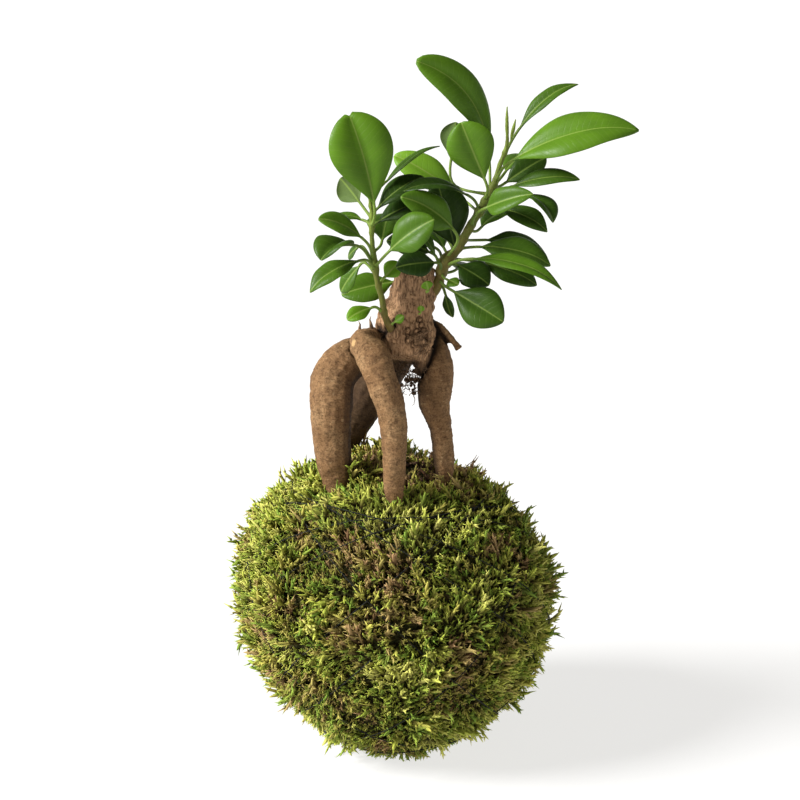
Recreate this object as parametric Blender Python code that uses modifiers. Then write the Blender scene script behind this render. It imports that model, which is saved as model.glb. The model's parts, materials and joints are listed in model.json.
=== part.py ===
"""Kokedama: a small ficus with a swollen root, grown over a moss ball that dark thread holds together.

The frame has its origin at the middle of the flat spot the ball rests on, +Z up and -Y towards the
front. Sizes and places are in millimetres and are turned into metres where a mesh is made.
"""

import math

import bmesh
import bpy
from mathutils import Vector
from mathutils.geometry import interpolate_bezier

MM = 0.001
GAP = 0.3

# The ball: a lumpy, slightly flattened sphere of moss around a sphere of soil.
BALL_CENTRE = Vector((0, 0, 60.5))
MOSS_RADII = Vector((66, 66, 64))
SOIL_RADII = Vector((54, 54, 51))
LUMP_HEIGHT = 1.5
LEAN = 9
MOUND = Vector((-0.2, -0.45, 0.87))
MOUND_HEIGHT = 3
CROWN_OPENING = (4, -4, 11)

# The thread: one strand wound round the ball like yarn. It climbs over every turn it crosses.
THREAD_RADIUS = 0.25
THREAD_TURNS = 8
THREAD_STEPS = 60
THREAD_TILT = math.radians(52)
THREAD_DRIFT = math.radians(64)
THREAD_START = math.radians(20)
THREAD_CLEARANCE = 0.9
THREAD_CLIMB = 1
CLIMB_REACH = 9

# The trunk: each limb is a route of points, each point with the limb's radius there.
LIMBS = (
    ((4, -9, 171, 10), (5, -6, 178, 14), (5, -5, 188, 12), (7, -5, 194, 10), (8, -5, 201, 9),
     (9, -5, 210, 8)),
    ((-4, -4, 177, 7), (-13, -8, 173, 8), (-20, -12, 171, 9), (-25, -16, 165, 9), (-26, -19, 155, 9),
     (-26, -19, 141, 8), (-25, -18, 129, 7.5), (-24, -18, 120, 6), (-24, -17, 100, 5.5)),
    ((-7, -11, 181, 5), (-13, -20, 181, 5.5), (-9, -25, 177, 7), (-6, -29, 170, 6.5), (-3, -31, 162, 6.5),
     (-1, -32, 155, 6), (0, -32, 146, 5.5), (0, -32, 135, 5), (0, -31, 126, 4.5), (0, -31, 119, 4),
     (0, -29, 100, 3)),
    ((8, -2, 180, 10), (14, -5, 175, 8.5), (17, -8, 167, 8), (17, -10, 160, 7.5), (17, -12, 153, 6.5),
     (19, -12, 144, 5), (20, -12, 136, 4.5), (21, -12, 126, 4.5), (21, -12, 119, 3.5),
     (21, -12, 100, 3.5)),
    ((2, 0, 178, 10), (-3, 8, 166, 10), (-9, 12, 155, 9.5), (-15, 15, 143, 8.5), (-21, 19, 130, 7),
     (-23, 21, 118, 6), (-24, 22, 100, 5.5)),
    ((3, -10, 182, 7), (0, -15, 185, 5), (-2, -18, 188, 3.5)),
    ((12, -4, 190, 3), (19, -6, 184, 1.8), (27, -6, 175, 1.7)),
)
ROOTS = LIMBS[1:5]
TRUNK_GRAIN = 1.6
TRUNK_FACE_SHARE = 0.17
ROOT_CLEARANCE = 1.2

# The two shoots grow from the trunk; their first point is inside it.
LEFT_SHOOT = (
    (0, -16, 184, 1.9), (-2, -19, 188, 1.7), (-4, -19, 193, 1.4), (-5, -18, 199, 1.3), (-7, -17, 207, 1.2),
    (-8, -16, 213, 1.2), (-9, -16, 223, 1), (-9, -16, 233, 0.9), (-10, -16, 240, 0.6),
)
RIGHT_SHOOT = (
    (12, -5, 196, 2.4), (17, -6, 200, 2.2), (19, -6, 206, 2), (21, -6, 212, 2.1), (26, -5, 217, 1.9),
    (30, -4, 224, 1.8), (36, -2, 234, 1.6), (41, -1, 243, 1.3), (43, 0, 250, 1.1), (46, 0, 259, 0.9),
    (46, 0, 268, 0.7), (46, 0, 275, 0.3),
)
SHOOTS = {"left_shoot": LEFT_SHOOT, "right_shoot": RIGHT_SHOOT}
BUD = ((47.6, 0, 261, 0.2), (48, 0, 263, 0.6), (48.6, -1, 266, 0.8), (49.5, -1, 270, 0.2))

# Each leaf: where its stalk starts (a shoot and a height, or a place on the trunk), the base and the tip
# of its blade, its width, the way its upper side looks, its arch along the midrib and its bend to the
# side, both in degrees, how far along it is widest, how pointed its tip is, and how many degrees each
# half is folded up.
LEAVES = {
    "left_leaf": (
        ("left_shoot", 229, (-8, -20, 238), (-18, -16, 274), 27, (0.2, -1, 0.1), 12, -10, 0.62, 0.2, 14),
        ("left_shoot", 232, (-14, -8, 237), (-22, -2, 246), 13, (0.5, 0.7, -0.3), 15, 0, 0.55, 0.4, 12),
        ("left_shoot", 216, (-13, -22, 225), (-30, -28, 234), 13, (-0.2, -0.5, 0.8), 25, -20, 0.5, 0.5, 14),
        ("left_shoot", 228, (-13, -9, 230), (-25, -4, 231), 10, (0, -0.1, 1), 20, 0, 0.5, 0.5, 12),
        ("left_shoot", 213, (-16, -22, 222), (-29, -36, 219), 20, (-0.4, -0.5, 0.8), 50, 0, 0.6, 0.5, 34),
        ("left_shoot", 214, (-15, -12, 219), (-19, -8, 214), 6, (-0.4, -0.6, 0.7), 10, 0, 0.5, 0.4, 12),
        ("left_shoot", 211, (-14, -24, 216), (-34, -34, 206), 13, (-0.1, -0.4, 0.9), 40, 0, 0.5, 0.9, 16),
        ("left_shoot", 210, (-14, -13, 212), (-22, -10, 200), 9, (-0.6, -0.7, 0.4), 15, 0, 0.6, 0.4, 14),
        ((4, 5, 203), 203, (0, 6, 201), (-22, 0, 197), 15, (0, -0.7, 0.7), 15, 0, 0.5, 0.5, 10),
        ("left_shoot", 204, (-4, -14, 207), (2, -12, 213), 8, (0.2, -0.8, 0.5), 10, 0, 0.5, 0.3, 14),
        ("left_shoot", 194, (-9, -21, 196), (-19, -26, 192), 9, (-0.2, -0.6, 0.8), 25, 0, 0.55, 0.4, 14),
        ("left_shoot", 212, (-2, -25, 220), (16, -30, 234), 17, (-0.3, -0.8, 0.5), 20, 10, 0.5, 0.3, 12),
        ("left_shoot", 233, (-7, -12, 235), (12, -2, 247), 14, (-0.4, -0.6, 0.7), 30, 0, 0.55, 0.4, 14),
        ("left_shoot", 226, (-7, -10, 229), (15, -3, 237), 14, (-0.1, -0.5, 0.9), 30, 0, 0.5, 0.5, 14),
        ("left_shoot", 237, (-4, -8, 245), (18, 1, 260), 10, (-0.6, -0.1, 0.8), 15, 0, 0.5, 0.8, 20),
        ("left_shoot", 218, (-5, -8, 221), (-2, 17, 228), 17, (0, 0.2, 1), 25, 0, 0.6, 0.4, 12),
    ),
    "middle_leaf": (
        ("right_shoot", 232, (26, 13, 237), (0, 15, 253), 15, (0, -0.8, 0.6), 35, 0, 0.5, 0.2, 14),
        ("right_shoot", 213, (25, 1, 217), (18, 4, 243), 20, (0.1, -1, 0.1), 20, 0, 0.55, 0.3, 12),
        ("right_shoot", 233, (30, -8, 240), (4, -18, 244), 14, (0, -0.2, 1), 50, 0, 0.5, 0.5, 16),
        ("right_shoot", 213, (24, -14, 227), (3, -24, 242), 15, (0.3, -0.8, 0.5), 20, -25, 0.35, 0.4, 14),
        ("right_shoot", 211, (17, -9, 215), (10, -10, 226), 8, (0.8, -0.4, 0.5), 15, 0, 0.5, 0.8, 20),
        ("right_shoot", 208, (17, -13, 213), (1, -22, 213), 13, (0.1, -0.8, 0.6), 25, 0, 0.5, 0.7, 16),
        ("right_shoot", 209, (15, -7, 216), (-3, -11, 222), 14, (0, -0.6, 0.8), 25, 0, 0.5, 0.5, 12),
        ("right_shoot", 211, (16, 1, 217), (2, 3, 221), 14, (0, -0.3, 1), 20, 0, 0.5, 0.5, 12),
        ("right_shoot", 215, (21, 10, 220), (10, 13, 230), 14, (0.3, 0.5, 0.8), 20, 0, 0.5, 0.5, 12),
        ("right_shoot", 212, (21, 12, 214), (9, 36, 222), 19, (0.1, 0.2, 1), 30, 0, 0.6, 0.4, 12),
    ),
    "right_leaf": (
        ("right_shoot", 241, (39, 4, 254), (9, -4, 294), 18, (0.5, -0.8, 0.4), 30, -65, 0.58, 0.2, 12),
        ("right_shoot", 237, (37, -8, 246), (27, -10, 270), 20, (-0.1, -1, 0.1), 8, 0, 0.62, 0.3, 12),
        ("right_shoot", 239, (24, 26, 250), (26, 28, 265), 13, (0.2, 0.9, -0.3), 15, 0, 0.6, 0.7, 14),
        ("right_shoot", 256, (51, 4, 265), (75, 10, 284), 10, (-0.4, -0.5, 0.8), 45, 0, 0.5, 0.8, 22),
        ("right_shoot", 245, (48, -7, 254), (98, -14, 269), 23, (-0.1, -0.6, 0.8), 36, 12, 0.45, 0.75, 12),
        ("right_shoot", 242, (46, 5, 243), (63, 10, 253), 12, (-0.1, -0.8, 0.5), 15, 0, 0.5, 0.5, 14),
        ("right_shoot", 240, (48, -5, 243), (75, -12, 248), 12, (0, -0.5, 0.9), 30, 0, 0.45, 0.7, 18),
        ("right_shoot", 227, (37, -16, 236), (55, -28, 244), 13, (-0.1, -0.8, 0.6), 20, 0, 0.3, 0.6, 22),
        ("right_shoot", 236, (52, -6, 240), (65, -16, 231), 15, (0.6, -0.4, 0.7), 50, 0, 0.6, 1, 26),
        ("right_shoot", 232, (42, -10, 235), (62, -20, 228), 12, (0.1, -0.6, 0.8), 35, 0, 0.6, 1, 20),
        ("right_shoot", 218, (35, -5, 218), (64, -14, 213), 17, (0.1, -0.5, 0.8), 35, 0, 0.5, 0.8, 14),
        ("right_shoot", 221, (38, 5, 219), (65, 14, 211), 16, (0.1, -0.4, 0.9), 35, 0, 0.5, 0.7, 12),
        ("right_shoot", 211, (32, -15, 215), (68, -28, 207), 13, (0, -0.3, 1), 40, 0, 0.4, 1, 16),
        ("right_shoot", 214, (36, -3, 211), (59, -8, 203), 14, (0.1, -0.6, 0.8), 25, 0, 0.5, 0.6, 14),
        ("right_shoot", 209, (26, -8, 211), (39, -14, 204), 16, (0.3, -0.7, 0.6), 15, 0, 0.5, 0.6, 12),
        ("right_shoot", 204, (24, -17, 202), (44, -29, 192), 18, (0.1, -1, 0.3), 15, 0, 0.58, 0.65, 14),
        ("right_shoot", 207, (22, -14, 206), (26, -19, 205), 6, (0.1, -0.8, 0.6), 10, 0, 0.4, 0.3, 8),
        ("right_shoot", 203, (21, -8, 199), (24, -9, 189), 7, (-0.8, -0.6, 0.2), 10, 0, 0.5, 0.7, 12),
        ("right_shoot", 225, (36, 6, 224), (52, 32, 227), 17, (0, 0.2, 1), 30, 0, 0.6, 0.5, 12),
        ("right_shoot", 243, (46, 8, 247), (58, 34, 250), 16, (0, 0.2, 1), 30, 0, 0.6, 0.5, 12),
        ("right_shoot", 207, (26, 3, 207), (36, 28, 202), 16, (0, 0.3, 1), 30, 0, 0.6, 0.5, 12),
    ),
    "sprout": (
        ((13, -14.6, 201), 201, (14, -15, 202), (13, -17, 206), 5, (0, -1, 0.3), 5, 0, 0.5, 0.3, 8),
        ((10, -15.6, 192), 192, (11, -16, 193), (11, -18, 196), 3, (0, -1, 0.3), 5, 0, 0.5, 0.3, 8),
        ((-1, -22, 189), 189, (0, -22, 190), (4, -23, 193), 4, (0, -0.8, 0.5), 5, 0, 0.5, 0.5, 8),
    ),
}
STALK_RADIUS = 0.8
BLADE_HALF_THICKNESS = 0.45
BASE_TAPER = 1.15
TIP_DROOP = 0.07
DROOP_START = 0.65
BLADE_STATIONS = (0.05, 0.18, 0.36, 0.55, 0.74, 0.9)


def material(name, colour, roughness):
    made = bpy.data.materials.new(name)
    made.use_nodes = True
    shader = made.node_tree.nodes["Principled BSDF"]
    shader.inputs["Base Color"].default_value = (*colour, 1)
    shader.inputs["Roughness"].default_value = roughness
    return made


def add_object(name, data, surface, collection):
    made = bpy.data.objects.new(name, data)
    made.data.materials.append(surface)
    collection.objects.link(made)
    return made


def add_mesh(name, form, surface, collection):
    """An object from a bmesh in millimetres, with its faces looking outwards."""
    bmesh.ops.scale(form, vec=(MM, MM, MM), verts=form.verts)
    bmesh.ops.recalc_face_normals(form, faces=form.faces)
    mesh = bpy.data.meshes.new(name)
    form.to_mesh(mesh)
    form.free()
    mesh.shade_smooth()
    return add_object(name, mesh, surface, collection)


def tube_curve(name, points, radii, resolution=2):
    curve = bpy.data.curves.new(name, "CURVE")
    curve.dimensions = "3D"
    curve.bevel_depth = MM
    curve.bevel_resolution = resolution
    curve.use_fill_caps = True
    spline = curve.splines.new("POLY")
    spline.points.add(len(points) - 1)
    for knot, place, radius in zip(spline.points, points, radii):
        knot.co = (*(Vector(place) * MM), 1)
        knot.radius = radius
    return curve


def route_tube(name, route, wider=0, resolution=2):
    """A tube along points that each carry their radius."""
    return tube_curve(name, [p[:3] for p in route], [p[3] + wider for p in route], resolution)


def curve_to_form(curve, form):
    """Adds the curve's tube, welded shut, to a bmesh in metres."""
    holder = bpy.data.objects.new(curve.name, curve)
    bpy.context.scene.collection.objects.link(holder)
    graph = bpy.context.evaluated_depsgraph_get()
    mesh = bpy.data.meshes.new_from_object(holder.evaluated_get(graph))
    form.from_mesh(mesh)
    bmesh.ops.remove_doubles(form, verts=form.verts, dist=0.00001)
    bpy.data.objects.remove(holder)
    bpy.data.meshes.remove(mesh)


def tubes_object(name, curves, surface, collection):
    """One mesh object that holds each curve's closed tube."""
    form = bmesh.new()
    for curve in curves:
        curve_to_form(curve, form)
    bmesh.ops.recalc_face_normals(form, faces=form.faces)
    mesh = bpy.data.meshes.new(name)
    form.to_mesh(mesh)
    form.free()
    mesh.shade_smooth()
    return add_object(name, mesh, surface, collection)


def subtract(target, cutter):
    cut = target.modifiers.new("without " + cutter.name, "BOOLEAN")
    cut.operation = "DIFFERENCE"
    cut.object = cutter
    cutter.hide_render = True
    cutter.display_type = "WIRE"


def lump(direction):
    """Height of the ball's broad lumps in a direction, from -1 to 1."""
    x, y, z = direction
    broad = math.sin(3.1 * x + 1.9 * z + 0.7) * math.sin(2.7 * y - 1.3 * x + 0.4)
    narrow = math.sin(5.3 * z + 3.2 * y + 1.1) * math.sin(4.7 * x + 2.1)
    return 0.65 * broad + 0.35 * narrow


def moss_point(direction, lift=0):
    """The place on the moss surface in a direction from the ball's centre, raised by lift.

    The ball leans: it is fuller high on its left side and drawn in low on it. It mounds up round the
    front roots."""
    unit = direction.normalized()
    reach = 1 / Vector((unit.x / MOSS_RADII.x, unit.y / MOSS_RADII.y, unit.z / MOSS_RADII.z)).length
    lean = LEAN * unit.z * unit.x * (unit.x - 1) / 2
    mound = MOUND_HEIGHT * math.exp(-(((unit - MOUND).length / 0.35) ** 2))
    return BALL_CENTRE + unit * (reach + lean + mound + LUMP_HEIGHT * lump(unit) + lift)


def make_soil(surface, collection):
    form = bmesh.new()
    bmesh.ops.create_uvsphere(form, u_segments=28, v_segments=16, radius=1)
    bmesh.ops.scale(form, vec=SOIL_RADII, verts=form.verts)
    bmesh.ops.translate(form, vec=BALL_CENTRE, verts=form.verts)
    return add_mesh("soil_ball", form, surface, collection)


def make_moss(surface, collection, cutters):
    form = bmesh.new()
    bmesh.ops.create_uvsphere(form, u_segments=40, v_segments=22, radius=1)
    for vert in form.verts:
        vert.co = moss_point(vert.co)
    whole = [*form.verts, *form.edges, *form.faces]
    cut = bmesh.ops.bisect_plane(
        form, geom=whole, plane_co=(0, 0, 0), plane_no=(0, 0, -1), clear_outer=True
    )
    rim = [part for part in cut["geom_cut"] if isinstance(part, bmesh.types.BMEdge)]
    bmesh.ops.contextual_create(form, geom=rim)
    moss = add_mesh("moss_cover", form, surface, collection)

    hollow = bmesh.new()
    bmesh.ops.create_uvsphere(hollow, u_segments=28, v_segments=16, radius=1)
    bmesh.ops.scale(hollow, vec=SOIL_RADII + Vector((GAP, GAP, GAP)) * 2, verts=hollow.verts)
    bmesh.ops.translate(hollow, vec=BALL_CENTRE, verts=hollow.verts)
    subtract(moss, add_mesh("moss hollow", hollow, surface, cutters))

    x, y, radius = CROWN_OPENING
    crown = bmesh.new()
    bmesh.ops.create_cone(
        crown, cap_ends=True, segments=12, radius1=radius * 0.8, radius2=radius * 1.2, depth=30
    )
    bmesh.ops.translate(crown, vec=(x, y, BALL_CENTRE.z + SOIL_RADII.z + 12), verts=crown.verts)
    subtract(moss, add_mesh("crown opening", crown, surface, cutters))
    return moss


def thread_direction(step):
    """The way from the ball's centre to a step of the thread: each turn's plane drifts round."""
    turns = step / THREAD_STEPS
    drift = THREAD_START + THREAD_DRIFT * turns
    level = Vector((-math.sin(drift), math.cos(drift), 0))
    steep = Vector((math.cos(drift), math.sin(drift), 0)).cross(level) * math.sin(THREAD_TILT)
    steep += Vector((0, 0, 1)).cross(level) * math.cos(THREAD_TILT)
    return level * math.cos(math.tau * turns) + steep * math.sin(math.tau * turns)


def thread_points():
    """One strand over the ball, lifted where it passes over an earlier turn."""
    places = []
    lifts = []
    points = []
    for step in range(THREAD_TURNS * THREAD_STEPS + 1):
        direction = thread_direction(step)
        place = moss_point(direction, THREAD_CLEARANCE)
        lift = 0
        for other in range(step - THREAD_STEPS // 3):
            near = math.exp(-(((places[other] - place).length / CLIMB_REACH) ** 2))
            lift = max(lift, (lifts[other] + THREAD_CLIMB) * near)
        places.append(place)
        lifts.append(lift)
        points.append(place + direction * lift)
    return points


def make_thread(surface, collection):
    points = thread_points()
    curve = tube_curve("binding_thread", points, [THREAD_RADIUS] * len(points))
    return add_object("binding_thread", curve, surface, collection)


def make_trunk(surface, collection):
    curves = [route_tube("limb", smooth_route(limb), 0, 4) for limb in LIMBS]
    trunk = tubes_object("trunk", curves, surface, collection)
    skin = trunk.modifiers.new("grown together", "REMESH")
    skin.mode = "VOXEL"
    skin.voxel_size = TRUNK_GRAIN * MM
    soften = trunk.modifiers.new("soften", "SMOOTH")
    soften.iterations = 4
    fewer = trunk.modifiers.new("fewer faces", "DECIMATE")
    fewer.ratio = TRUNK_FACE_SHARE
    return trunk


def smooth_route(route, pieces=3):
    """A smooth curve through the points of a route, radii included."""
    knots = [Vector(point) for point in route]
    ends = [2 * knots[0] - knots[1], *knots, 2 * knots[-1] - knots[-2]]
    smoothed = []
    for before, start, end, after in zip(ends, ends[1:], ends[2:], ends[3:]):
        for piece in range(pieces):
            t = piece / pieces
            bend = (end - before) * t + (2 * before - 5 * start + 4 * end - after) * t**2
            turn = (3 * start - before - 3 * end + after) * t**3
            smoothed.append(start + (bend + turn) / 2)
    return [*smoothed, knots[-1]]


def shoot_at(shoot, height):
    """The centre, the direction and the radius of a shoot at a height."""
    route = smooth_route(SHOOTS[shoot])
    for low, high in zip(route, route[1:]):
        if high.z >= height:
            share = (height - low.z) / (high.z - low.z)
            here = low.lerp(high, share)
            return here.xyz, (high.xyz - low.xyz).normalized(), here.w
    return route[-1].xyz, (route[-1].xyz - route[-2].xyz).normalized(), route[-1].w


def stalk_start(holder, height, base):
    """Where a leaf's stalk starts: just off the skin of its shoot, on the side of its blade."""
    if not isinstance(holder, str):
        return Vector(holder)
    centre, along, radius = shoot_at(holder, height)
    outward = base - centre
    outward = (outward - along * outward.dot(along)).normalized()
    return centre + outward * (radius + GAP + STALK_RADIUS * 0.8)


def blade_half_width(share, width, belly, point):
    """A wedge up to the belly, which rounds off to the tip."""
    if share < belly:
        return width / 2 * math.sin(math.pi / 2 * (share / belly) ** BASE_TAPER)
    beyond = (share - belly) / (1 - belly)
    return width / 2 * (1 - beyond**2) ** (0.5 + 0.4 * point)


def midrib(base, tip, facing, arch, bend, point):
    """A function: at a share of the midrib's length, its place, direction, side and upward normal."""
    chord = tip - base
    along = chord.normalized()
    up = (Vector(facing) - along * along.dot(Vector(facing))).normalized()
    side = up.cross(along)
    lift = up * (2 * chord.length * math.tan(math.radians(arch) / 4))
    sway = side * (2 * chord.length * math.tan(math.radians(bend) / 4))
    droop = -up * (TIP_DROOP * point * chord.length)

    def at(share):
        late = max(0, share - DROOP_START) / (1 - DROOP_START)
        place = base + chord * share + (lift + sway) * (share * (1 - share)) + droop * late**2
        bowed = chord + (lift + sway) * (1 - 2 * share)
        direction = (bowed + droop * (2 * late / (1 - DROOP_START))).normalized()
        normal = (up - direction * up.dot(direction)).normalized()
        return place, direction, normal.cross(direction), normal

    return at


def square_ring(place, side, normal, thin):
    return place + side * thin, place + normal * thin, place - side * thin, place - normal * thin


def stalk_rings(points, direction, side, normal, thin):
    """Rings square to the stalk, turned back from the blade's frame without twist."""
    rings = [square_ring(points[-1], side, normal, thin)]
    for place, after in zip(reversed(points[:-1]), reversed(points[1:])):
        heading = (after - place).normalized()
        turn = direction.rotation_difference(heading)
        side = turn @ side
        normal = turn @ normal
        direction = heading
        rings.append(square_ring(place, side, normal, thin))
    return rings[::-1]


def leaf_rings(holder, height, base, tip, width, facing, arch, bend, belly, point, fold):
    """Four-cornered rings from the stalk's foot along the blade, and the tip."""
    base = Vector(base)
    at = midrib(base, Vector(tip), facing, arch, bend, point)
    fold = math.radians(fold)
    start = stalk_start(holder, height, base)
    _, direction, side, normal = at(0)
    knee = base - direction * ((base - start).length * 0.4)
    thin = min(STALK_RADIUS, width / 12)
    thick = min(BLADE_HALF_THICKNESS, width / 16)
    stalk = interpolate_bezier(start, start.lerp(knee, 0.8), knee, base, 4)
    rings = stalk_rings(stalk, direction, side, normal, thin)
    for share in BLADE_STATIONS:
        place, direction, side, normal = at(share)
        half = blade_half_width(share, width, belly, point)
        out = side * (half * math.cos(fold))
        up = normal * (half * math.sin(fold))
        rings.append((place + out + up, place + normal * thick, place - out + up, place - normal * thick))
    return rings, at(1)[0]


def make_leaf(name, leaf, surface, collection):
    """A closed leaf: its stalk and blade are one loft between unlike rings."""
    rings, tip = leaf_rings(*leaf)
    form = bmesh.new()
    loops = [[form.verts.new(corner) for corner in ring] for ring in rings]
    form.faces.new(reversed(loops[0]))
    for lower, upper in zip(loops, loops[1:]):
        for i in range(4):
            j = (i + 1) % 4
            form.faces.new((lower[i], lower[j], upper[j], upper[i]))
    point = form.verts.new(tip)
    for i in range(4):
        form.faces.new((loops[-1][i], loops[-1][(i + 1) % 4], point))
    return add_mesh(name, form, surface, collection)


def build():
    for thing in list(bpy.data.objects):
        bpy.data.objects.remove(thing)
    plant = bpy.data.collections.new("kokedama moss ball plant")
    cutters = bpy.data.collections.new("cutters")
    bpy.context.scene.collection.children.link(plant)
    bpy.context.scene.collection.children.link(cutters)

    moss_green = material("living moss", (0.16, 0.2, 0.04), 0.95)
    soil_brown = material("peat soil", (0.07, 0.04, 0.02), 1)
    thread_dark = material("dark thread", (0.02, 0.02, 0.018), 0.8)
    bark = material("brown bark", (0.2, 0.12, 0.08), 0.8)
    young_bark = material("young bark", (0.22, 0.2, 0.07), 0.6)
    leaf_green = material("ficus leaf", (0.08, 0.2, 0.02), 0.35)

    soil = make_soil(soil_brown, plant)
    moss = make_moss(moss_green, plant, cutters)
    make_thread(thread_dark, plant)
    trunk = make_trunk(bark, plant)

    for root in ROOTS:
        buried = smooth_route(root)[-12:]
        buried[-1] = buried[-1] - Vector((0, 0, ROOT_CLEARANCE, 0))
        socket = tubes_object("root socket", [route_tube("root", buried, ROOT_CLEARANCE)], bark, cutters)
        subtract(soil, socket)
        subtract(moss, socket)

    for name, route in SHOOTS.items():
        smoothed = smooth_route(route)
        add_object(name, route_tube(name, smoothed, 0, 2), young_bark, plant)
        foot = smoothed[:8]
        foot[0] = foot[0] + (foot[0] - foot[1]).normalized() * GAP
        socket = tubes_object(name + " socket", [route_tube("foot", foot, GAP)], bark, cutters)
        subtract(trunk, socket)
    add_object("right_shoot_bud", route_tube("right_shoot_bud", BUD), young_bark, plant)

    for kind, leaves in LEAVES.items():
        for number, leaf in enumerate(leaves, 1):
            make_leaf(f"{kind}_{number:02d}", leaf, leaf_green, plant)


build()
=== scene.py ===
"""Kokedama: a small ficus with a swollen root, grown over a moss ball that dark thread holds together."""

import json
import math
import random

import bmesh
import bpy
import numpy as np
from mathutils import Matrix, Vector, noise
from mathutils.geometry import interpolate_bezier

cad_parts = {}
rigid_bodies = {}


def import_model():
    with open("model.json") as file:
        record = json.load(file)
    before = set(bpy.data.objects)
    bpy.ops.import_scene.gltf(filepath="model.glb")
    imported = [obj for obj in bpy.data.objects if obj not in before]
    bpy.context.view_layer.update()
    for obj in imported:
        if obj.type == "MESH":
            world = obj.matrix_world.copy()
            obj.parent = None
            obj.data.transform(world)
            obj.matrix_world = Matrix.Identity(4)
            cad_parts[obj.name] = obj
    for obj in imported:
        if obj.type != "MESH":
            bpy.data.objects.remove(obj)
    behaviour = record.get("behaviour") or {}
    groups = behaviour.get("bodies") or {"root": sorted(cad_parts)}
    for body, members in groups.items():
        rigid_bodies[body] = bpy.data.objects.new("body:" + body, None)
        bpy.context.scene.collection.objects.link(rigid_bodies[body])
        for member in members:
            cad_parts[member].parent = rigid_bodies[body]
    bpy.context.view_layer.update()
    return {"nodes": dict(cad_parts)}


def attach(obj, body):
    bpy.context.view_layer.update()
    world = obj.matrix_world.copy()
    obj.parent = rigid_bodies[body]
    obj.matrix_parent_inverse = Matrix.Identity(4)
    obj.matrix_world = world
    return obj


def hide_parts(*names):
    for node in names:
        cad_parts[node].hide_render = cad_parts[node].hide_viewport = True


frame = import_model()

# Sizes and places are in millimetres and become metres where a mesh is made.
MM = 0.001

CAMERA_TARGET = Vector((2.4, 0, 151.4))
CAMERA_DISTANCE = 900
CAMERA_RISE = math.radians(15)
CAMERA_LENS = 96
CAMERA_SENSOR = 36

FLOOR_WIDTH = 16
FLOOR_GREYS = ((0.25, 0.25, 0.25, 1), (0.27, 0.27, 0.27, 1))
FLOOR_GLOW = (1, 0.99, 0.97, 1)
FLOOR_GLOW_STRENGTH = 0.75
SKY_FADE = (0.185, 0.27)
SKY_STRENGTHS = (1.0, 0.12)
SUN_STRENGTH = 6.8
SUN_SPREAD = math.radians(25)
SUN_PLACE = (-1.2, -0.35, 0.95)
SUN_TARGET = Vector((0, 0, 0.1))

# The ball, its lumps and its lean, and the thread's turns, tilt and drift, as in the frame. The thread's
# lift, dip and twist belong to the visible thread only.
BALL_CENTRE = Vector((0, 0, 60.5))
MOSS_RADII = Vector((66, 66, 64))
LUMP_HEIGHT = 1.5
LEAN = 9
MOUND = Vector((-0.2, -0.45, 0.87))
MOUND_HEIGHT = 3
MOUND_REACH = 0.35
CROWN = Vector((4, -2, 0))
CROWN_RADIUS = 15
THREAD_RADIUS = 0.25
THREAD_TURNS = 8
THREAD_STEPS = 720
THREAD_TILT = math.radians(52)
THREAD_DRIFT = math.radians(64)
THREAD_START = math.radians(20)
THREAD_LIFT = 0.9
THREAD_DIP = 0.6
THREAD_TWIST = 2.4
THREAD_STEP_LENGTH = 0.58
THREAD_CROSSING = 1.5
STRAND_OFFSET = 0.55
STRAND_SHARE = 0.62

MAT_DEPTH = 3
MAT_BOTTOM = 0.3
CROWN_DEPTH = 3
MOSS_SECTORS = 12
MOSS_BOTTOM = 0.2
BARE_SHARE = 0.75
SHOOT_KINDS = 5
SHOOTS_PER_SQUARE_METRE = 400000.0
SHOOT_SCALE = 1.1
FANS_PER_METRE = 62.0
PRESSED_SPAN = (0.8, 5)
PRESSED_SCALE = 0.22
# Brown moss round the crown, partly dry and partly painted shade from the legs: its reach and the heights it
# fades in over.
DRY_AND_SHADE_SPAN = (16, 40)
DRY_AND_SHADE_HEIGHTS = (80, 100)

# Each limb of the trunk is a route of points, each point with the limb's radius there.
LIMBS = (
    ((4, -9, 171, 10), (5, -6, 178, 14), (5, -5, 188, 12), (7, -5, 194, 10), (8, -5, 201, 9),
     (9, -5, 210, 8)),
    ((-4, -4, 177, 7), (-13, -8, 173, 8), (-20, -12, 171, 9), (-25, -16, 165, 9), (-26, -19, 155, 9),
     (-26, -19, 141, 8), (-25, -18, 129, 7.5), (-24, -18, 120, 6), (-24, -17, 100, 5.5)),
    ((-7, -11, 181, 5), (-13, -20, 181, 5.5), (-9, -25, 177, 7), (-6, -29, 170, 6.5), (-3, -31, 162, 6.5),
     (-1, -32, 155, 6), (0, -32, 146, 5.5), (0, -32, 135, 5), (0, -31, 126, 4.5), (0, -31, 119, 4),
     (0, -29, 100, 3)),
    ((8, -2, 180, 10), (14, -5, 175, 8.5), (17, -8, 167, 8), (17, -10, 160, 7.5), (17, -12, 153, 6.5),
     (19, -12, 144, 5), (20, -12, 136, 4.5), (21, -12, 126, 4.5), (21, -12, 119, 3.5), (21, -12, 100, 3.5)),
    ((2, 0, 178, 10), (-3, 8, 166, 10), (-9, 12, 155, 9.5), (-15, 15, 143, 8.5), (-21, 19, 130, 7),
     (-23, 21, 118, 6), (-24, 22, 100, 5.5)),
    ((3, -10, 182, 7), (0, -15, 185, 5), (-2, -18, 188, 3.5)),
    ((12, -4, 190, 3), (19, -6, 184, 1.8), (27, -6, 175, 1.7)),
)
SWELLING = 0
# The hind root: its front is darkened as painted shade.
HIND_ROOT = 4
GRAFT = 5
BARK_GRAIN = 0.55
NECK_FOOT = 184
NECK_RISE = 14
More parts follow.
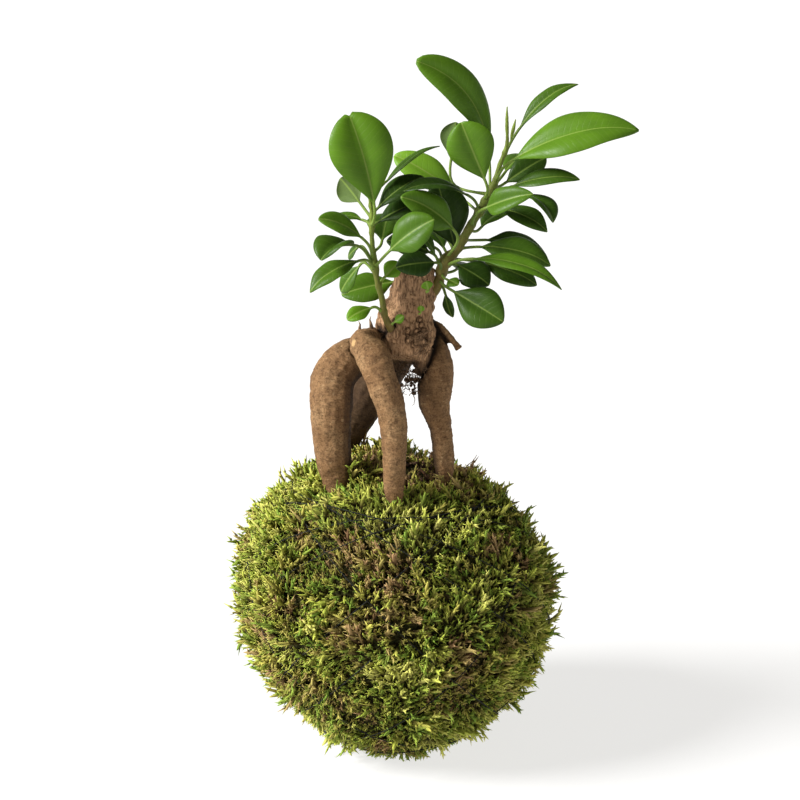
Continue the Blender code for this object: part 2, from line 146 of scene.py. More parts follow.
# The swelling's least roughness: coarser bark, and the neck's lighter red colour, partly as painted light.
SWELLING_ROUGHNESS_AND_LIGHT = 0.75
LEG_TOP = 158
CREASE_WIDTH = 1.2
CREASE_DEPTH = 1.8
# Bark turned towards this point between the legs is darkened as painted shade.
PAINTED_SHADE_CENTRE = Vector((3, -8))
SCAR = Vector((-16, -25, 182))
SCAR_RADIUS = 1.5
WARTS = 26
WARTS_ACROSS = (9.5, 2.2)
WARTS_UP = (182, 3)
WARTS_BACK = -9
WART_SIZES = (0.8, 1.4)
WART_RING = 0.45

# Fine roots and crumbs of peat: how many hang where, and the few that stand alone, each with its start,
# heading, length, radius and how much it wanders.
BEARD_ROOTS = 26
TANGLE_ROOTS = 46
SIDE_ROOTS = 14
CROWN_ROOTS = 40
HAIR_STEPS = 7
LONE_ROOTS = (
    ((-32, 18, 112), (-1, 0.1, 0.3), 17, 0.3, 0.12),
    ((-34, 16, 110), (-1, -0.1, 0.45), 13, 0.25, 0.15),
    ((30, 10, 118), (0.4, 0, 1), 10, 0.25, 0.2),
)
SPIKES = (
    ((-14, -15, 182, 1.3), (-14.2, -15, 186, 0.6), (-14, -15, 187.5, 0.35), (-14.6, -15, 189, 0.1)),
    ((-9, -15, 184, 1.2), (-9.6, -15, 188, 0.6), (-10, -15, 189.5, 0.3), (-9.5, -15, 191, 0.1)),
)
CRUMBS = 90
TANGLE_CRUMBS = 34

LEFT_SHOOT = (
    (0, -16, 184, 1.9), (-2, -19, 188, 1.7), (-4, -19, 193, 1.4), (-5, -18, 199, 1.3), (-7, -17, 207, 1.2),
    (-8, -16, 213, 1.2), (-9, -16, 223, 1), (-9, -16, 233, 0.9), (-10, -16, 240, 0.6),
)
RIGHT_SHOOT = (
    (12, -5, 196, 2.4), (17, -6, 200, 2.2), (19, -6, 206, 2), (21, -6, 212, 2.1), (26, -5, 217, 1.9),
    (30, -4, 224, 1.8), (36, -2, 234, 1.6), (41, -1, 243, 1.3), (43, 0, 250, 1.1), (46, 0, 259, 0.9),
    (46, 0, 268, 0.7), (46, 0, 275, 0.3),
)
LEFT = "left_shoot"
RIGHT = "right_shoot"
SHOOTS = {LEFT: LEFT_SHOOT, RIGHT: RIGHT_SHOOT}
BUD = ((47.6, 0, 261, 0.2), (48, 0, 263, 0.6), (48.6, -1, 266, 0.8), (49.5, -1, 270, 0.2))

# Each leaf: where its stalk starts (a shoot and a height, or a place on the trunk), the base and the tip
# of its blade, its width, the way its upper side looks, its arch along the midrib and its bend to the
# side, both in degrees, how far along it is widest, how pointed its tip is, its fold in degrees, and its
# tone from old and dark to young and light.
LEAVES = {
    "left_leaf": (
        (LEFT, 229, (-8, -20, 238), (-18, -16, 274), 27, (0.2, -1, 0.1), 12, -10, 0.62, 0.2, 14, 0.58),
        (LEFT, 232, (-14, -8, 237), (-22, -2, 246), 13, (0.5, 0.7, -0.3), 15, 0, 0.55, 0.4, 12, 0.4),
        (LEFT, 216, (-13, -22, 225), (-30, -28, 234), 13, (-0.2, -0.5, 0.8), 25, -20, 0.5, 0.5, 14, 0.5),
        (LEFT, 228, (-13, -9, 230), (-25, -4, 231), 10, (0, -0.1, 1), 20, 0, 0.5, 0.5, 12, 0.45),
        (LEFT, 213, (-16, -22, 222), (-29, -36, 219), 20, (-0.4, -0.5, 0.8), 50, 0, 0.6, 0.5, 34, 0.3),
        (LEFT, 214, (-15, -12, 219), (-19, -8, 214), 6, (-0.4, -0.6, 0.7), 10, 0, 0.5, 0.4, 12, 0.3),
        (LEFT, 211, (-14, -24, 216), (-34, -34, 206), 13, (-0.1, -0.4, 0.9), 40, 0, 0.5, 0.9, 16, 0.4),
        (LEFT, 210, (-14, -13, 212), (-22, -10, 200), 9, (-0.6, -0.7, 0.4), 15, 0, 0.6, 0.4, 14, 0.4),
        ((4, 5, 203), 203, (0, 6, 201), (-22, 0, 197), 15, (0, -0.7, 0.7), 15, 0, 0.5, 0.5, 10, 0.45),
        (LEFT, 204, (-4, -14, 207), (2, -12, 213), 8, (0.2, -0.8, 0.5), 10, 0, 0.5, 0.3, 14, 0.75),
        (LEFT, 194, (-9, -21, 196), (-19, -26, 192), 9, (-0.2, -0.6, 0.8), 25, 0, 0.55, 0.4, 14, 0.7),
        (LEFT, 212, (-2, -25, 220), (16, -30, 234), 17, (-0.3, -0.8, 0.5), 20, 10, 0.5, 0.3, 12, 0.42),
        (LEFT, 233, (-7, -12, 235), (12, -2, 247), 14, (-0.4, -0.6, 0.7), 30, 0, 0.55, 0.4, 14, 0.15),
        (LEFT, 226, (-7, -10, 229), (15, -3, 237), 14, (-0.1, -0.5, 0.9), 30, 0, 0.5, 0.5, 14, 0.12),
        (LEFT, 237, (-4, -8, 245), (18, 1, 260), 10, (-0.6, -0.1, 0.8), 15, 0, 0.5, 0.8, 20, 0.3),
        (LEFT, 218, (-5, -8, 221), (-2, 17, 228), 17, (0, 0.2, 1), 25, 0, 0.6, 0.4, 12, 0.4),
    ),
    "middle_leaf": (
        (RIGHT, 232, (26, 13, 237), (0, 15, 253), 15, (0, -0.8, 0.6), 35, 0, 0.5, 0.2, 14, 0.85),
        (RIGHT, 213, (25, 1, 217), (18, 4, 243), 20, (0.1, -1, 0.1), 20, 0, 0.55, 0.3, 12, 0.12),
        (RIGHT, 233, (30, -8, 240), (4, -18, 244), 14, (0, -0.2, 1), 50, 0, 0.5, 0.5, 16, 0.15),
        (RIGHT, 213, (24, -14, 227), (3, -24, 242), 15, (0.3, -0.8, 0.5), 20, -25, 0.35, 0.4, 14, 0.5),
        (RIGHT, 211, (17, -9, 215), (10, -10, 226), 8, (0.8, -0.4, 0.5), 15, 0, 0.5, 0.8, 20, 0.3),
        (RIGHT, 208, (17, -13, 213), (1, -22, 213), 13, (0.1, -0.8, 0.6), 25, 0, 0.5, 0.7, 16, 0.08),
        (RIGHT, 209, (15, -7, 216), (-3, -11, 222), 14, (0, -0.6, 0.8), 25, 0, 0.5, 0.5, 12, 0.1),
        (RIGHT, 211, (16, 1, 217), (2, 3, 221), 14, (0, -0.3, 1), 20, 0, 0.5, 0.5, 12, 0.15),
        (RIGHT, 215, (21, 10, 220), (10, 13, 230), 14, (0.3, 0.5, 0.8), 20, 0, 0.5, 0.5, 12, 0.35),
        (RIGHT, 212, (21, 12, 214), (9, 36, 222), 19, (0.1, 0.2, 1), 30, 0, 0.6, 0.4, 12, 0.35),
    ),
    "right_leaf": (
        (RIGHT, 241, (39, 4, 254), (9, -4, 294), 18, (0.5, -0.8, 0.4), 30, -65, 0.58, 0.2, 12, 0.57),
        (RIGHT, 237, (37, -8, 246), (27, -10, 270), 20, (-0.1, -1, 0.1), 8, 0, 0.62, 0.3, 12, 0.55),
        (RIGHT, 239, (24, 26, 250), (26, 28, 265), 13, (0.2, 0.9, -0.3), 15, 0, 0.6, 0.7, 14, 0.4),
        (RIGHT, 256, (51, 4, 265), (75, 10, 284), 10, (-0.4, -0.5, 0.8), 45, 0, 0.5, 0.8, 22, 0.36),
        (RIGHT, 245, (48, -7, 254), (98, -14, 269), 23, (-0.1, -0.6, 0.8), 36, 12, 0.45, 0.75, 12, 0.56),
        (RIGHT, 242, (46, 5, 243), (63, 10, 253), 12, (-0.1, -0.8, 0.5), 15, 0, 0.5, 0.5, 14, 0.25),
        (RIGHT, 240, (48, -5, 243), (75, -12, 248), 12, (0, -0.5, 0.9), 30, 0, 0.45, 0.7, 18, 0.3),
        (RIGHT, 227, (37, -16, 236), (55, -28, 244), 13, (-0.1, -0.8, 0.6), 20, 0, 0.3, 0.6, 22, 0.42),
        (RIGHT, 236, (52, -6, 240), (65, -16, 231), 15, (0.6, -0.4, 0.7), 50, 0, 0.6, 1, 26, 0.25),
        (RIGHT, 232, (42, -10, 235), (62, -20, 228), 12, (0.1, -0.6, 0.8), 35, 0, 0.6, 1, 20, 0.28),
        (RIGHT, 218, (35, -5, 218), (64, -14, 213), 17, (0.1, -0.5, 0.8), 35, 0, 0.5, 0.8, 14, 0.32),
        (RIGHT, 221, (38, 5, 219), (65, 14, 211), 16, (0.1, -0.4, 0.9), 35, 0, 0.5, 0.7, 12, 0.22),
        (RIGHT, 211, (32, -15, 215), (68, -28, 207), 13, (0, -0.3, 1), 40, 0, 0.4, 1, 16, 0.5),
        (RIGHT, 214, (36, -3, 211), (59, -8, 203), 14, (0.1, -0.6, 0.8), 25, 0, 0.5, 0.6, 14, 0.25),
        (RIGHT, 209, (26, -8, 211), (39, -14, 204), 16, (0.3, -0.7, 0.6), 15, 0, 0.5, 0.6, 12, 0.15),
        (RIGHT, 204, (24, -17, 202), (44, -29, 192), 18, (0.1, -1, 0.3), 15, 0, 0.58, 0.65, 14, 0.28),
        (RIGHT, 207, (22, -14, 206), (26, -19, 205), 6, (0.1, -0.8, 0.6), 10, 0, 0.4, 0.3, 8, 0.6),
        (RIGHT, 203, (21, -8, 199), (24, -9, 189), 7, (-0.8, -0.6, 0.2), 10, 0, 0.5, 0.7, 12, 0.15),
        (RIGHT, 225, (36, 6, 224), (52, 32, 227), 17, (0, 0.2, 1), 30, 0, 0.6, 0.5, 12, 0.35),
        (RIGHT, 243, (46, 8, 247), (58, 34, 250), 16, (0, 0.2, 1), 30, 0, 0.6, 0.5, 12, 0.45),
        (RIGHT, 207, (26, 3, 207), (36, 28, 202), 16, (0, 0.3, 1), 30, 0, 0.6, 0.5, 12, 0.3),
    ),
    "sprout": (
        ((13, -14.6, 201), 201, (14, -15, 202), (13, -17, 206), 5, (0, -1, 0.3), 5, 0, 0.5, 0.3, 8, 0.75),
        ((10, -15.6, 192), 192, (11, -16, 193), (11, -18, 196), 3, (0, -1, 0.3), 5, 0, 0.5, 0.3, 8, 0.75),
        ((-1, -22, 189), 189, (0, -22, 190), (4, -23, 193), 4, (0, -0.8, 0.5), 5, 0, 0.5, 0.5, 8, 0.7),
    ),
}
STALK_RADIUS = 0.6
BLADE_HALF_THICKNESS = 0.2
BASE_TAPER = 1.15
TIP_DROOP = 0.07
DROOP_START = 0.65
TIP_NOTCH = {"left_leaf_01": 0.05}
RING_POINTS = 32
STEM_RING_POINTS = 20
STALK_RINGS = 9
BLADE_RINGS = 30


# ---- materials ----


class Surface:
    """A Principled material and short ways to add and join its nodes."""

    def __init__(self, name, roughness=0.5, specular=0.5):
        self.material = bpy.data.materials.new(name)
        self.material.use_nodes = True
        self.tree = self.material.node_tree
        self.shader = self.tree.nodes["Principled BSDF"]
        self.shader.inputs["Roughness"].default_value = roughness
        self.shader.inputs["Specular IOR Level"].default_value = specular

    def node(self, kind, **settings):
        made = self.tree.nodes.new("ShaderNode" + kind)
        for name, value in settings.items():
            setattr(made, name, value)
        return made

    def feed(self, value, socket):
        if isinstance(value, bpy.types.NodeSocket):
            self.tree.links.new(value, socket)
        else:
            socket.default_value = value

    def maths(self, operation, first, second=0.0):
        made = self.node("Math", operation=operation)
        self.feed(first, made.inputs[0])
        self.feed(second, made.inputs[1])
        return made.outputs[0]

    def mix(self, factor, first, second):
        made = self.node("Mix", data_type="RGBA")
        self.feed(factor, made.inputs["Factor"])
        self.feed(first, made.inputs[6])
        self.feed(second, made.inputs[7])
        return made.outputs[2]

    def ramp(self, factor, stops):
        made = self.node("ValToRGB")
        elements = made.color_ramp.elements
        while len(elements) < len(stops):
            elements.new(0.5)
        for element, (place, colour) in zip(elements, stops):
            element.position = place
            element.color = (*colour, 1)
        self.feed(factor, made.inputs[0])
        return made.outputs[0]

    def place(self, stretch=(1, 1, 1)):
        """Object coordinates in millimetres, stretched."""
        coordinates = self.node("TexCoord")
        mapping = self.node("Mapping")
        mapping.inputs["Scale"].default_value = [share / MM for share in stretch]
        self.feed(coordinates.outputs["Object"], mapping.inputs["Vector"])
        return mapping.outputs[0]

    def noise(self, vector, size, detail=3.0, roughness=0.55):
        made = self.node("TexNoise")
        self.feed(vector, made.inputs["Vector"])
        made.inputs["Scale"].default_value = 1 / size
        made.inputs["Detail"].default_value = detail
        made.inputs["Roughness"].default_value = roughness
        return made.outputs[0]

    def cells(self, vector, size):
        made = self.node("TexVoronoi")
        self.feed(vector, made.inputs["Vector"])
        made.inputs["Scale"].default_value = 1 / size
        return made.outputs["Distance"]

    def span(self, value, low, high, to_low=0.0, to_high=1.0):
        made = self.node("MapRange")
        for given, socket in zip((value, low, high, to_low, to_high), made.inputs):
            self.feed(given, socket)
        return made.outputs[0]

    def uv(self, name):
        layer = self.node("UVMap", uv_map=name)
        split = self.node("SeparateXYZ")
        self.feed(layer.outputs[0], split.inputs[0])
        return split.outputs[0], split.outputs[1]

    def attribute(self, name, output="Fac"):
        return self.node("Attribute", attribute_name=name).outputs[output]

    def bump(self, height, distance, strength=1.0):
        made = self.node("Bump")
        made.inputs["Distance"].default_value = distance * MM
        made.inputs["Strength"].default_value = strength
        self.feed(height, made.inputs["Height"])
        self.feed(made.outputs[0], self.shader.inputs["Normal"])

    def paint(self, colour, roughness=None):
        self.feed(colour, self.shader.inputs["Base Color"])
        if roughness is not None:
            self.feed(roughness, self.shader.inputs["Roughness"])
        return self.material


def leaf_material():
    """Waxy green above with a pale midrib and side veins, duller and paler below."""
    surface = Surface("ficus leaf", specular=0.14)
    around, _ = surface.uv("OFBake")
    across, along = surface.uv("blade")
    tone = surface.attribute("tone")
    underside = surface.maths("GREATER_THAN", around, 0.5)
    away = surface.maths("ABSOLUTE", across)
    where = surface.place()

    blotch = surface.noise(where, 9, 2)
    cloud = surface.span(blotch, 0.25, 0.75, -0.06, 0.06)
    shade = surface.maths("ADD", tone, cloud)
    top = surface.ramp(shade, (
        (0.0, (0.01, 0.024, 0.004)), (0.25, (0.03, 0.068, 0.006)), (0.5, (0.062, 0.135, 0.008)),
        (0.75, (0.105, 0.225, 0.01)), (1.0, (0.18, 0.34, 0.03)),
    ))
    below = surface.mix(0.4, top, (0.13, 0.15, 0.07, 1))

    slant = surface.maths("SUBTRACT", along, surface.maths("MULTIPLY", away, 0.5))
    wobble = surface.maths("MULTIPLY", surface.noise(where, 4, 1), 1.2)
    wave = surface.maths("SINE", surface.maths("MULTIPLY", surface.maths("ADD", slant, wobble), 2.5))
    vein = surface.span(wave, 0.9, 1.0)
    rib_width = surface.span(along, 0, 50, 0.5, 0.18)
    rib = surface.span(surface.maths("DIVIDE", away, rib_width), 1.0, 0.55)
    stalk = surface.maths("LESS_THAN", along, 0.3)
    pale = surface.mix(tone, (0.1, 0.15, 0.03, 1), (0.24, 0.34, 0.06, 1))
    colour = surface.mix(underside, top, below)
    colour = surface.mix(surface.maths("MULTIPLY", vein, 0.12), colour, pale)
    colour = surface.mix(surface.maths("MULTIPLY", surface.maths("MAXIMUM", rib, stalk), 0.8), colour, pale)
    spots = surface.span(surface.noise(where, 1.6, 2), 0.73, 0.78)
    colour = surface.mix(surface.maths("MULTIPLY", spots, 0.35), colour, (0.09, 0.06, 0.02, 1))

    gloss = surface.span(surface.noise(where, 2.5, 3), 0.3, 0.7, 0.34, 0.48)
    rough = surface.maths("ADD", gloss, surface.maths("MULTIPLY", underside, 0.28))
    quilting = surface.maths("SUBTRACT", surface.maths("MULTIPLY", surface.noise(where, 1.1, 2), 0.35), vein)
    surface.bump(quilting, 0.08, 0.5)
    return surface.paint(colour, rough)


def stem_material():
    """Young bark: brown and ringed at the foot, olive green towards the tip."""
    surface = Surface("young bark", specular=0.15)
    _, along = surface.uv("OFBake")
    where = surface.place()
    grain = surface.noise(surface.place((1, 1, 0.25)), 0.8, 4)
    green = surface.maths("ADD", along, surface.span(surface.noise(where, 3), 0.2, 0.8, -0.2, 0.2))
    base = surface.ramp(green, (
        (0.0, (0.2, 0.13, 0.04)), (0.3, (0.15, 0.14, 0.028)), (0.6, (0.13, 0.17, 0.025)),
        (1.0, (0.2, 0.28, 0.04)),
    ))
    colour = surface.mix(surface.span(grain, 0.4, 0.75, 0, 0.55), base, (0.05, 0.035, 0.018, 1))
    flecks = surface.span(surface.cells(surface.place((1, 1, 1.8)), 1.4), 0.16, 0.06)
    colour = surface.mix(surface.maths("MULTIPLY", flecks, 0.5), colour, (0.4, 0.32, 0.18, 1))
    surface.bump(grain, 0.2, 0.7)
    return surface.paint(colour, 0.55)


def bark_material():
    """Thin brown-grey bark: fine rings and pale flecks on the legs, coarse and flaking on the neck."""
    surface = Surface("brown bark", specular=0.12)
    where = surface.place()
    broad = surface.noise(where, 11, 3)
    fine = surface.noise(where, 0.8, 5, 0.75)
    grain = surface.attribute("grain", "Vector")
    rings = surface.noise(grain, 1.0, 4, 0.65)
    streaks = surface.noise(surface.place((1.6, 1.6, 0.3)), 1.2, 4)
    neck = surface.attribute("neck")
    base = surface.ramp(broad, (
        (0.25, (0.18, 0.094, 0.04)), (0.5, (0.265, 0.148, 0.066)), (0.75, (0.36, 0.22, 0.105)),
    ))
    blotch = surface.noise(where, 3.2, 4, 0.7)
    base = surface.mix(surface.span(blotch, 0.46, 0.62, 0, 0.5), base, (0.075, 0.038, 0.018, 1))
    colour = surface.mix(surface.span(rings, 0.45, 0.66, 0, 0.45), base, (0.08, 0.042, 0.019, 1))
    colour = surface.mix(surface.span(fine, 0.48, 0.64, 0, 0.62), colour, (0.055, 0.029, 0.014, 1))
    red = surface.mix(surface.span(streaks, 0.4, 0.65), (0.66, 0.39, 0.21, 1), (0.09, 0.047, 0.026, 1))
    # The neck's redder, lighter bark; on the swelling it is partly painted light lifting it out of shade.
    colour = surface.mix(surface.maths("MULTIPLY", neck, 0.7), colour, red)
    old = surface.span(neck, 0.75, 1, 0, 0.26)
    colour = surface.mix(old, colour, (0.06, 0.03, 0.018, 1))
    stretched = surface.node("VectorMath", operation="MULTIPLY")
    surface.feed(grain, stretched.inputs[0])
    stretched.inputs[1].default_value = (1.6, 1.6, 0.8)
    flecks = surface.span(surface.cells(stretched.outputs[0], 2.0), 0.2, 0.08)
    colour = surface.mix(surface.maths("MULTIPLY", flecks, 0.6), colour, (0.4, 0.26, 0.13, 1))
    crumbs = surface.span(surface.noise(where, 0.45, 2), 0.68, 0.74)
    colour = surface.mix(surface.maths("MULTIPLY", crumbs, 0.5), colour, (0.36, 0.24, 0.13, 1))
    # Painted shade: darker bark on faces turned in between the legs and on the front of the hind root, below
    # the neck.
    painted_shade = surface.maths("MULTIPLY", surface.attribute("painted_inner_shade"), 0.8)
    colour = surface.mix(painted_shade, colour, (0.028, 0.016, 0.009, 1))
    colour = surface.mix(surface.attribute("scar"), colour, (0.42, 0.27, 0.12, 1))
    # Painted shade: near black in the creases between limbs and round the warts.
    colour = surface.mix(surface.attribute("crease"), colour, (0.012, 0.007, 0.004, 1))
    relief = surface.maths("ADD", surface.maths("MULTIPLY", fine, 0.7), surface.maths("MULTIPLY", rings, 0.6))
    surface.bump(relief, 0.6, 0.9)
    return surface.paint(colour, surface.span(fine, 0.3, 0.8, 0.62, 0.9))


def moss_material():
    """Moss shoots: brown at the root and darkened there as painted shade, and their own tint at the tip."""
    surface = Surface("living moss", roughness=0.7, specular=0.15)
    tint, along = surface.uv("OFBake")
    tip = surface.ramp(tint, (
        (0.0, (0.16, 0.08, 0.04)), (0.14, (0.46, 0.29, 0.13)), (0.3, (0.36, 0.29, 0.085)),
        (0.48, (0.5, 0.47, 0.085)), (0.62, (0.18, 0.29, 0.035)), (0.8, (0.46, 0.5, 0.07)),
        (1.0, (0.62, 0.6, 0.15)),
    ))
    # Brown at the root, deepened near black as painted shade in the gaps between shoots.
    root = surface.mix(0.92, tip, (0.03, 0.014, 0.005, 1))
    return surface.paint(surface.mix(surface.span(along, 0.3, 0.9), root, tip))


def mat_material():
    surface = Surface("moss roots", roughness=1, specular=0.1)
    where = surface.place()
    colour = surface.ramp(surface.noise(where, 2, 4), (
        (0.3, (0.012, 0.01, 0.004)), (0.55, (0.04, 0.04, 0.012)), (0.75, (0.08, 0.05, 0.022)),
    ))
    surface.bump(surface.noise(where, 0.8, 3), 0.8)
    return surface.paint(colour)


def soil_material():
    surface = Surface("peat soil", roughness=1, specular=0.15)
    where = surface.place()
    colour = surface.ramp(surface.noise(where, 1.2, 4), (
        (0.3, (0.02, 0.011, 0.006)), (0.55, (0.06, 0.034, 0.019)), (0.75, (0.14, 0.085, 0.05)),
    ))
    surface.bump(surface.noise(where, 0.6, 3), 0.6)
    return surface.paint(colour)


def thread_material():
    surface = Surface("dark thread", roughness=0.85, specular=0.2)
    fibres = surface.noise(surface.place(), 0.3, 3)
    colour = surface.ramp(fibres, ((0.3, (0.006, 0.007, 0.006)), (0.7, (0.03, 0.032, 0.028))))
    surface.bump(fibres, 0.1)
    return surface.paint(colour)


def dry_material():
    surface = Surface("dry fibre", roughness=0.9, specular=0.15)
    where = surface.place()
    colour = surface.ramp(surface.noise(where, 1.5, 3), (
        (0.3, (0.06, 0.035, 0.02)), (0.7, (0.24, 0.15, 0.085)),
    ))
    surface.bump(surface.noise(where, 0.4, 2), 0.15)
    return surface.paint(colour)


# ---- making meshes ----


def finish_piece(made, slot, *nodes):
    """Hangs a finished piece on the plant's one body and hides the parts of the frame it stands for."""
    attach(made, "root")
    for node in nodes:
        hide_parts(node)
    return made


def link_mesh(name, mesh, material):
    mesh.materials.clear()
    if material:
        mesh.materials.append(material)
    mesh.shade_smooth()
    made = bpy.data.objects.new(name, mesh)
    bpy.context.scene.collection.objects.link(made)
    return made


def evaluated_mesh(thing):
    graph = bpy.context.evaluated_depsgraph_get()
    return bpy.data.meshes.new_from_object(thing.evaluated_get(graph))


def remove_object(thing):
    data = thing.data
    bpy.data.objects.remove(thing)
    if isinstance(data, bpy.types.Mesh):
        bpy.data.meshes.remove(data)
    else:
        bpy.data.curves.remove(data)


def smooth_route(route, pieces):
    """A smooth curve through the points of a route, radii included."""
    knots = [Vector(point) for point in route]
    ends = [2 * knots[0] - knots[1], *knots, 2 * knots[-1] - knots[-2]]
    smoothed = []
    for before, start, end, after in zip(ends, ends[1:], ends[2:], ends[3:]):
        for piece in range(pieces):
            t = piece / pieces
            bend = (end - before) * t + (2 * before - 5 * start + 4 * end - after) * t**2
            turn = (3 * start - before - 3 * end + after) * t**3
            smoothed.append(start + (bend + turn) / 2)
    return [*smoothed, knots[-1]]


def tube_curve(name, routes, resolution):
    """A curve object with one capped tube for each route; each point carries its radius."""
    curve = bpy.data.curves.new(name, "CURVE")
    curve.dimensions = "3D"
    curve.bevel_depth = MM
    curve.bevel_resolution = resolution
    curve.use_fill_caps = True
    for route in routes:
        spline = curve.splines.new("POLY")
        spline.points.add(len(route) - 1)
        for knot, point in zip(spline.points, route):
            knot.co = (point[0] * MM, point[1] * MM, point[2] * MM, 1)
            knot.radius = point[3]
    made = bpy.data.objects.new(name, curve)
    bpy.context.scene.collection.objects.link(made)
    return made


def tubes(name, routes, material, resolution):
    """One mesh piece with a closed tube for each route."""
    holder = tube_curve(name + " route", routes, resolution)
    form = bmesh.new()
    mesh = evaluated_mesh(holder)
    form.from_mesh(mesh)
    bmesh.ops.remove_doubles(form, verts=form.verts, dist=0.000001)
    bmesh.ops.recalc_face_normals(form, faces=form.faces)
    form.to_mesh(mesh)
    form.free()
    remove_object(holder)
    return link_mesh(name, mesh, material)


# ---- the ball ----


def lump(direction):
    """Height of the ball's broad lumps in a direction, from -1 to 1."""
    x, y, z = direction
    broad = math.sin(3.1 * x + 1.9 * z + 0.7) * math.sin(2.7 * y - 1.3 * x + 0.4)
    narrow = math.sin(5.3 * z + 3.2 * y + 1.1) * math.sin(4.7 * x + 2.1)
    return 0.65 * broad + 0.35 * narrow


def moss_point(direction, lift):
    """The place on the moss surface in a direction from the ball's centre, raised by lift."""
    unit = direction.normalized()
    reach = 1 / Vector((unit.x / MOSS_RADII.x, unit.y / MOSS_RADII.y, unit.z / MOSS_RADII.z)).length
    lean = LEAN * unit.z * unit.x * (unit.x - 1) / 2
    mound = MOUND_HEIGHT * math.exp(-(((unit - MOUND).length / MOUND_REACH) ** 2))
    return BALL_CENTRE + unit * (reach + lean + mound + LUMP_HEIGHT * lump(unit) + lift)


def make_mat(material):
    """The tangle under the shoots: lumpy, with a hollow at the crown, pressed flat where it rests."""
    form = bmesh.new()
    bmesh.ops.create_icosphere(form, subdivisions=6, radius=1)
    for vert in form.verts:
        unit = vert.co.copy()
        tuft = noise.noise(unit * 9) * 1.3 + noise.noise(unit * 24) * 0.6
        place = moss_point(unit, tuft - MAT_DEPTH)
        beside = (Vector((place.x, place.y, 0)) - CROWN).length
        if place.z > BALL_CENTRE.z and beside < CROWN_RADIUS:
            place.z -= CROWN_DEPTH * (1 - (beside / CROWN_RADIUS) ** 2)
        place.z = max(place.z, MAT_BOTTOM)
        vert.co = place * MM
    mesh = bpy.data.meshes.new("moss_mat")
    form.to_mesh(mesh)
    form.free()
    return link_mesh("moss_mat", mesh, material)


def add_stroke(form, layer, path, radii, shares, sides, flatness):
    """A closed, tapering, slightly flat stroke along a path, ending in a point; its UV follows the shares."""
    rings = []
    for place, radius in zip(path, radii):
        ring = []
        for step in range(sides):
            angle = math.tau * step / sides
            around = Vector((math.cos(angle), flatness * math.sin(angle), 0)) * radius
            ring.append(form.verts.new((place + around) * MM))
        rings.append(ring)
    end = form.verts.new(path[-1] * MM)
    faces = [(form.faces.new(rings[0][::-1]), [shares[0]] * sides)]
    for low, high, s, t in zip(rings, rings[1:], shares, shares[1:]):
        for i in range(sides):
            j = (i + 1) % sides
            faces.append((form.faces.new((low[i], low[j], high[j], high[i])), (s, s, t, t)))
    for i in range(sides):
        corners = (rings[-1][i], rings[-1][(i + 1) % sides], end)
        faces.append((form.faces.new(corners), (shares[-2], shares[-2], shares[-1])))
    for made, marks in faces:
        for loop, mark in zip(made.loops, marks):
            loop[layer].uv = (0.5, mark)


def shoot_kind(name, seed, length, side_shoots, leaflets, collection):
    """One moss shoot: a blunt tapering finger, forks from its lower half, and small pointed leaves."""
    chance = random.Random(seed)
    form = bmesh.new()
    layer = form.loops.layers.uv.new("OFBake")
    bow = Vector((chance.uniform(0.15, 0.4), chance.uniform(-0.15, 0.15), 0))

    def at(share):
        return Vector((0, 0, share * length)) + bow * (length * share**2)

    shares = (0, 0.35, 0.75, 0.93, 1)
    width = chance.uniform(0.58, 0.75)
    radii = (width * 0.6, width, width * 0.85, width * 0.45)
    add_stroke(form, layer, [at(share) for share in shares], radii, shares, 4, 0.7)
    for number in range(side_shoots):
        foot = at(0.25 + 0.2 * number)
        aside = Vector((chance.uniform(-0.4, 0.4), 1 - 2 * (number % 2), 0)) * chance.uniform(0.4, 0.6)
        reach = length * chance.uniform(0.42, 0.6)
        path = [foot + (Vector((0, 0, 1)) + aside * (1.2 - 0.4 * t)) * (reach * t) for t in (0, 0.5, 0.85, 1)]
        add_stroke(form, layer, path, (width * 0.7, width * 0.75, width * 0.4), (0.2, 0.6, 0.9, 1), 3, 0.8)
    for number in range(leaflets):
        share = 0.3 + 0.55 * number / max(leaflets - 1, 1)
        spin = number * 2.4 + chance.uniform(-0.4, 0.4)
        outward = Vector((math.cos(spin), math.sin(spin), 0))
        foot = at(share) + outward * (width * 0.5)
        tip = foot + (outward * 0.9 + Vector((bow.x * share, 0, 1))) * chance.uniform(1, 1.6)
        add_stroke(form, layer, (foot, tip), (0.36,), (share, 1), 3, 1)
    bmesh.ops.recalc_face_normals(form, faces=form.faces)
    mesh = bpy.data.meshes.new(name)
    form.to_mesh(mesh)
    form.free()
    mesh.shade_smooth()
    collection.objects.link(bpy.data.objects.new(name, mesh))


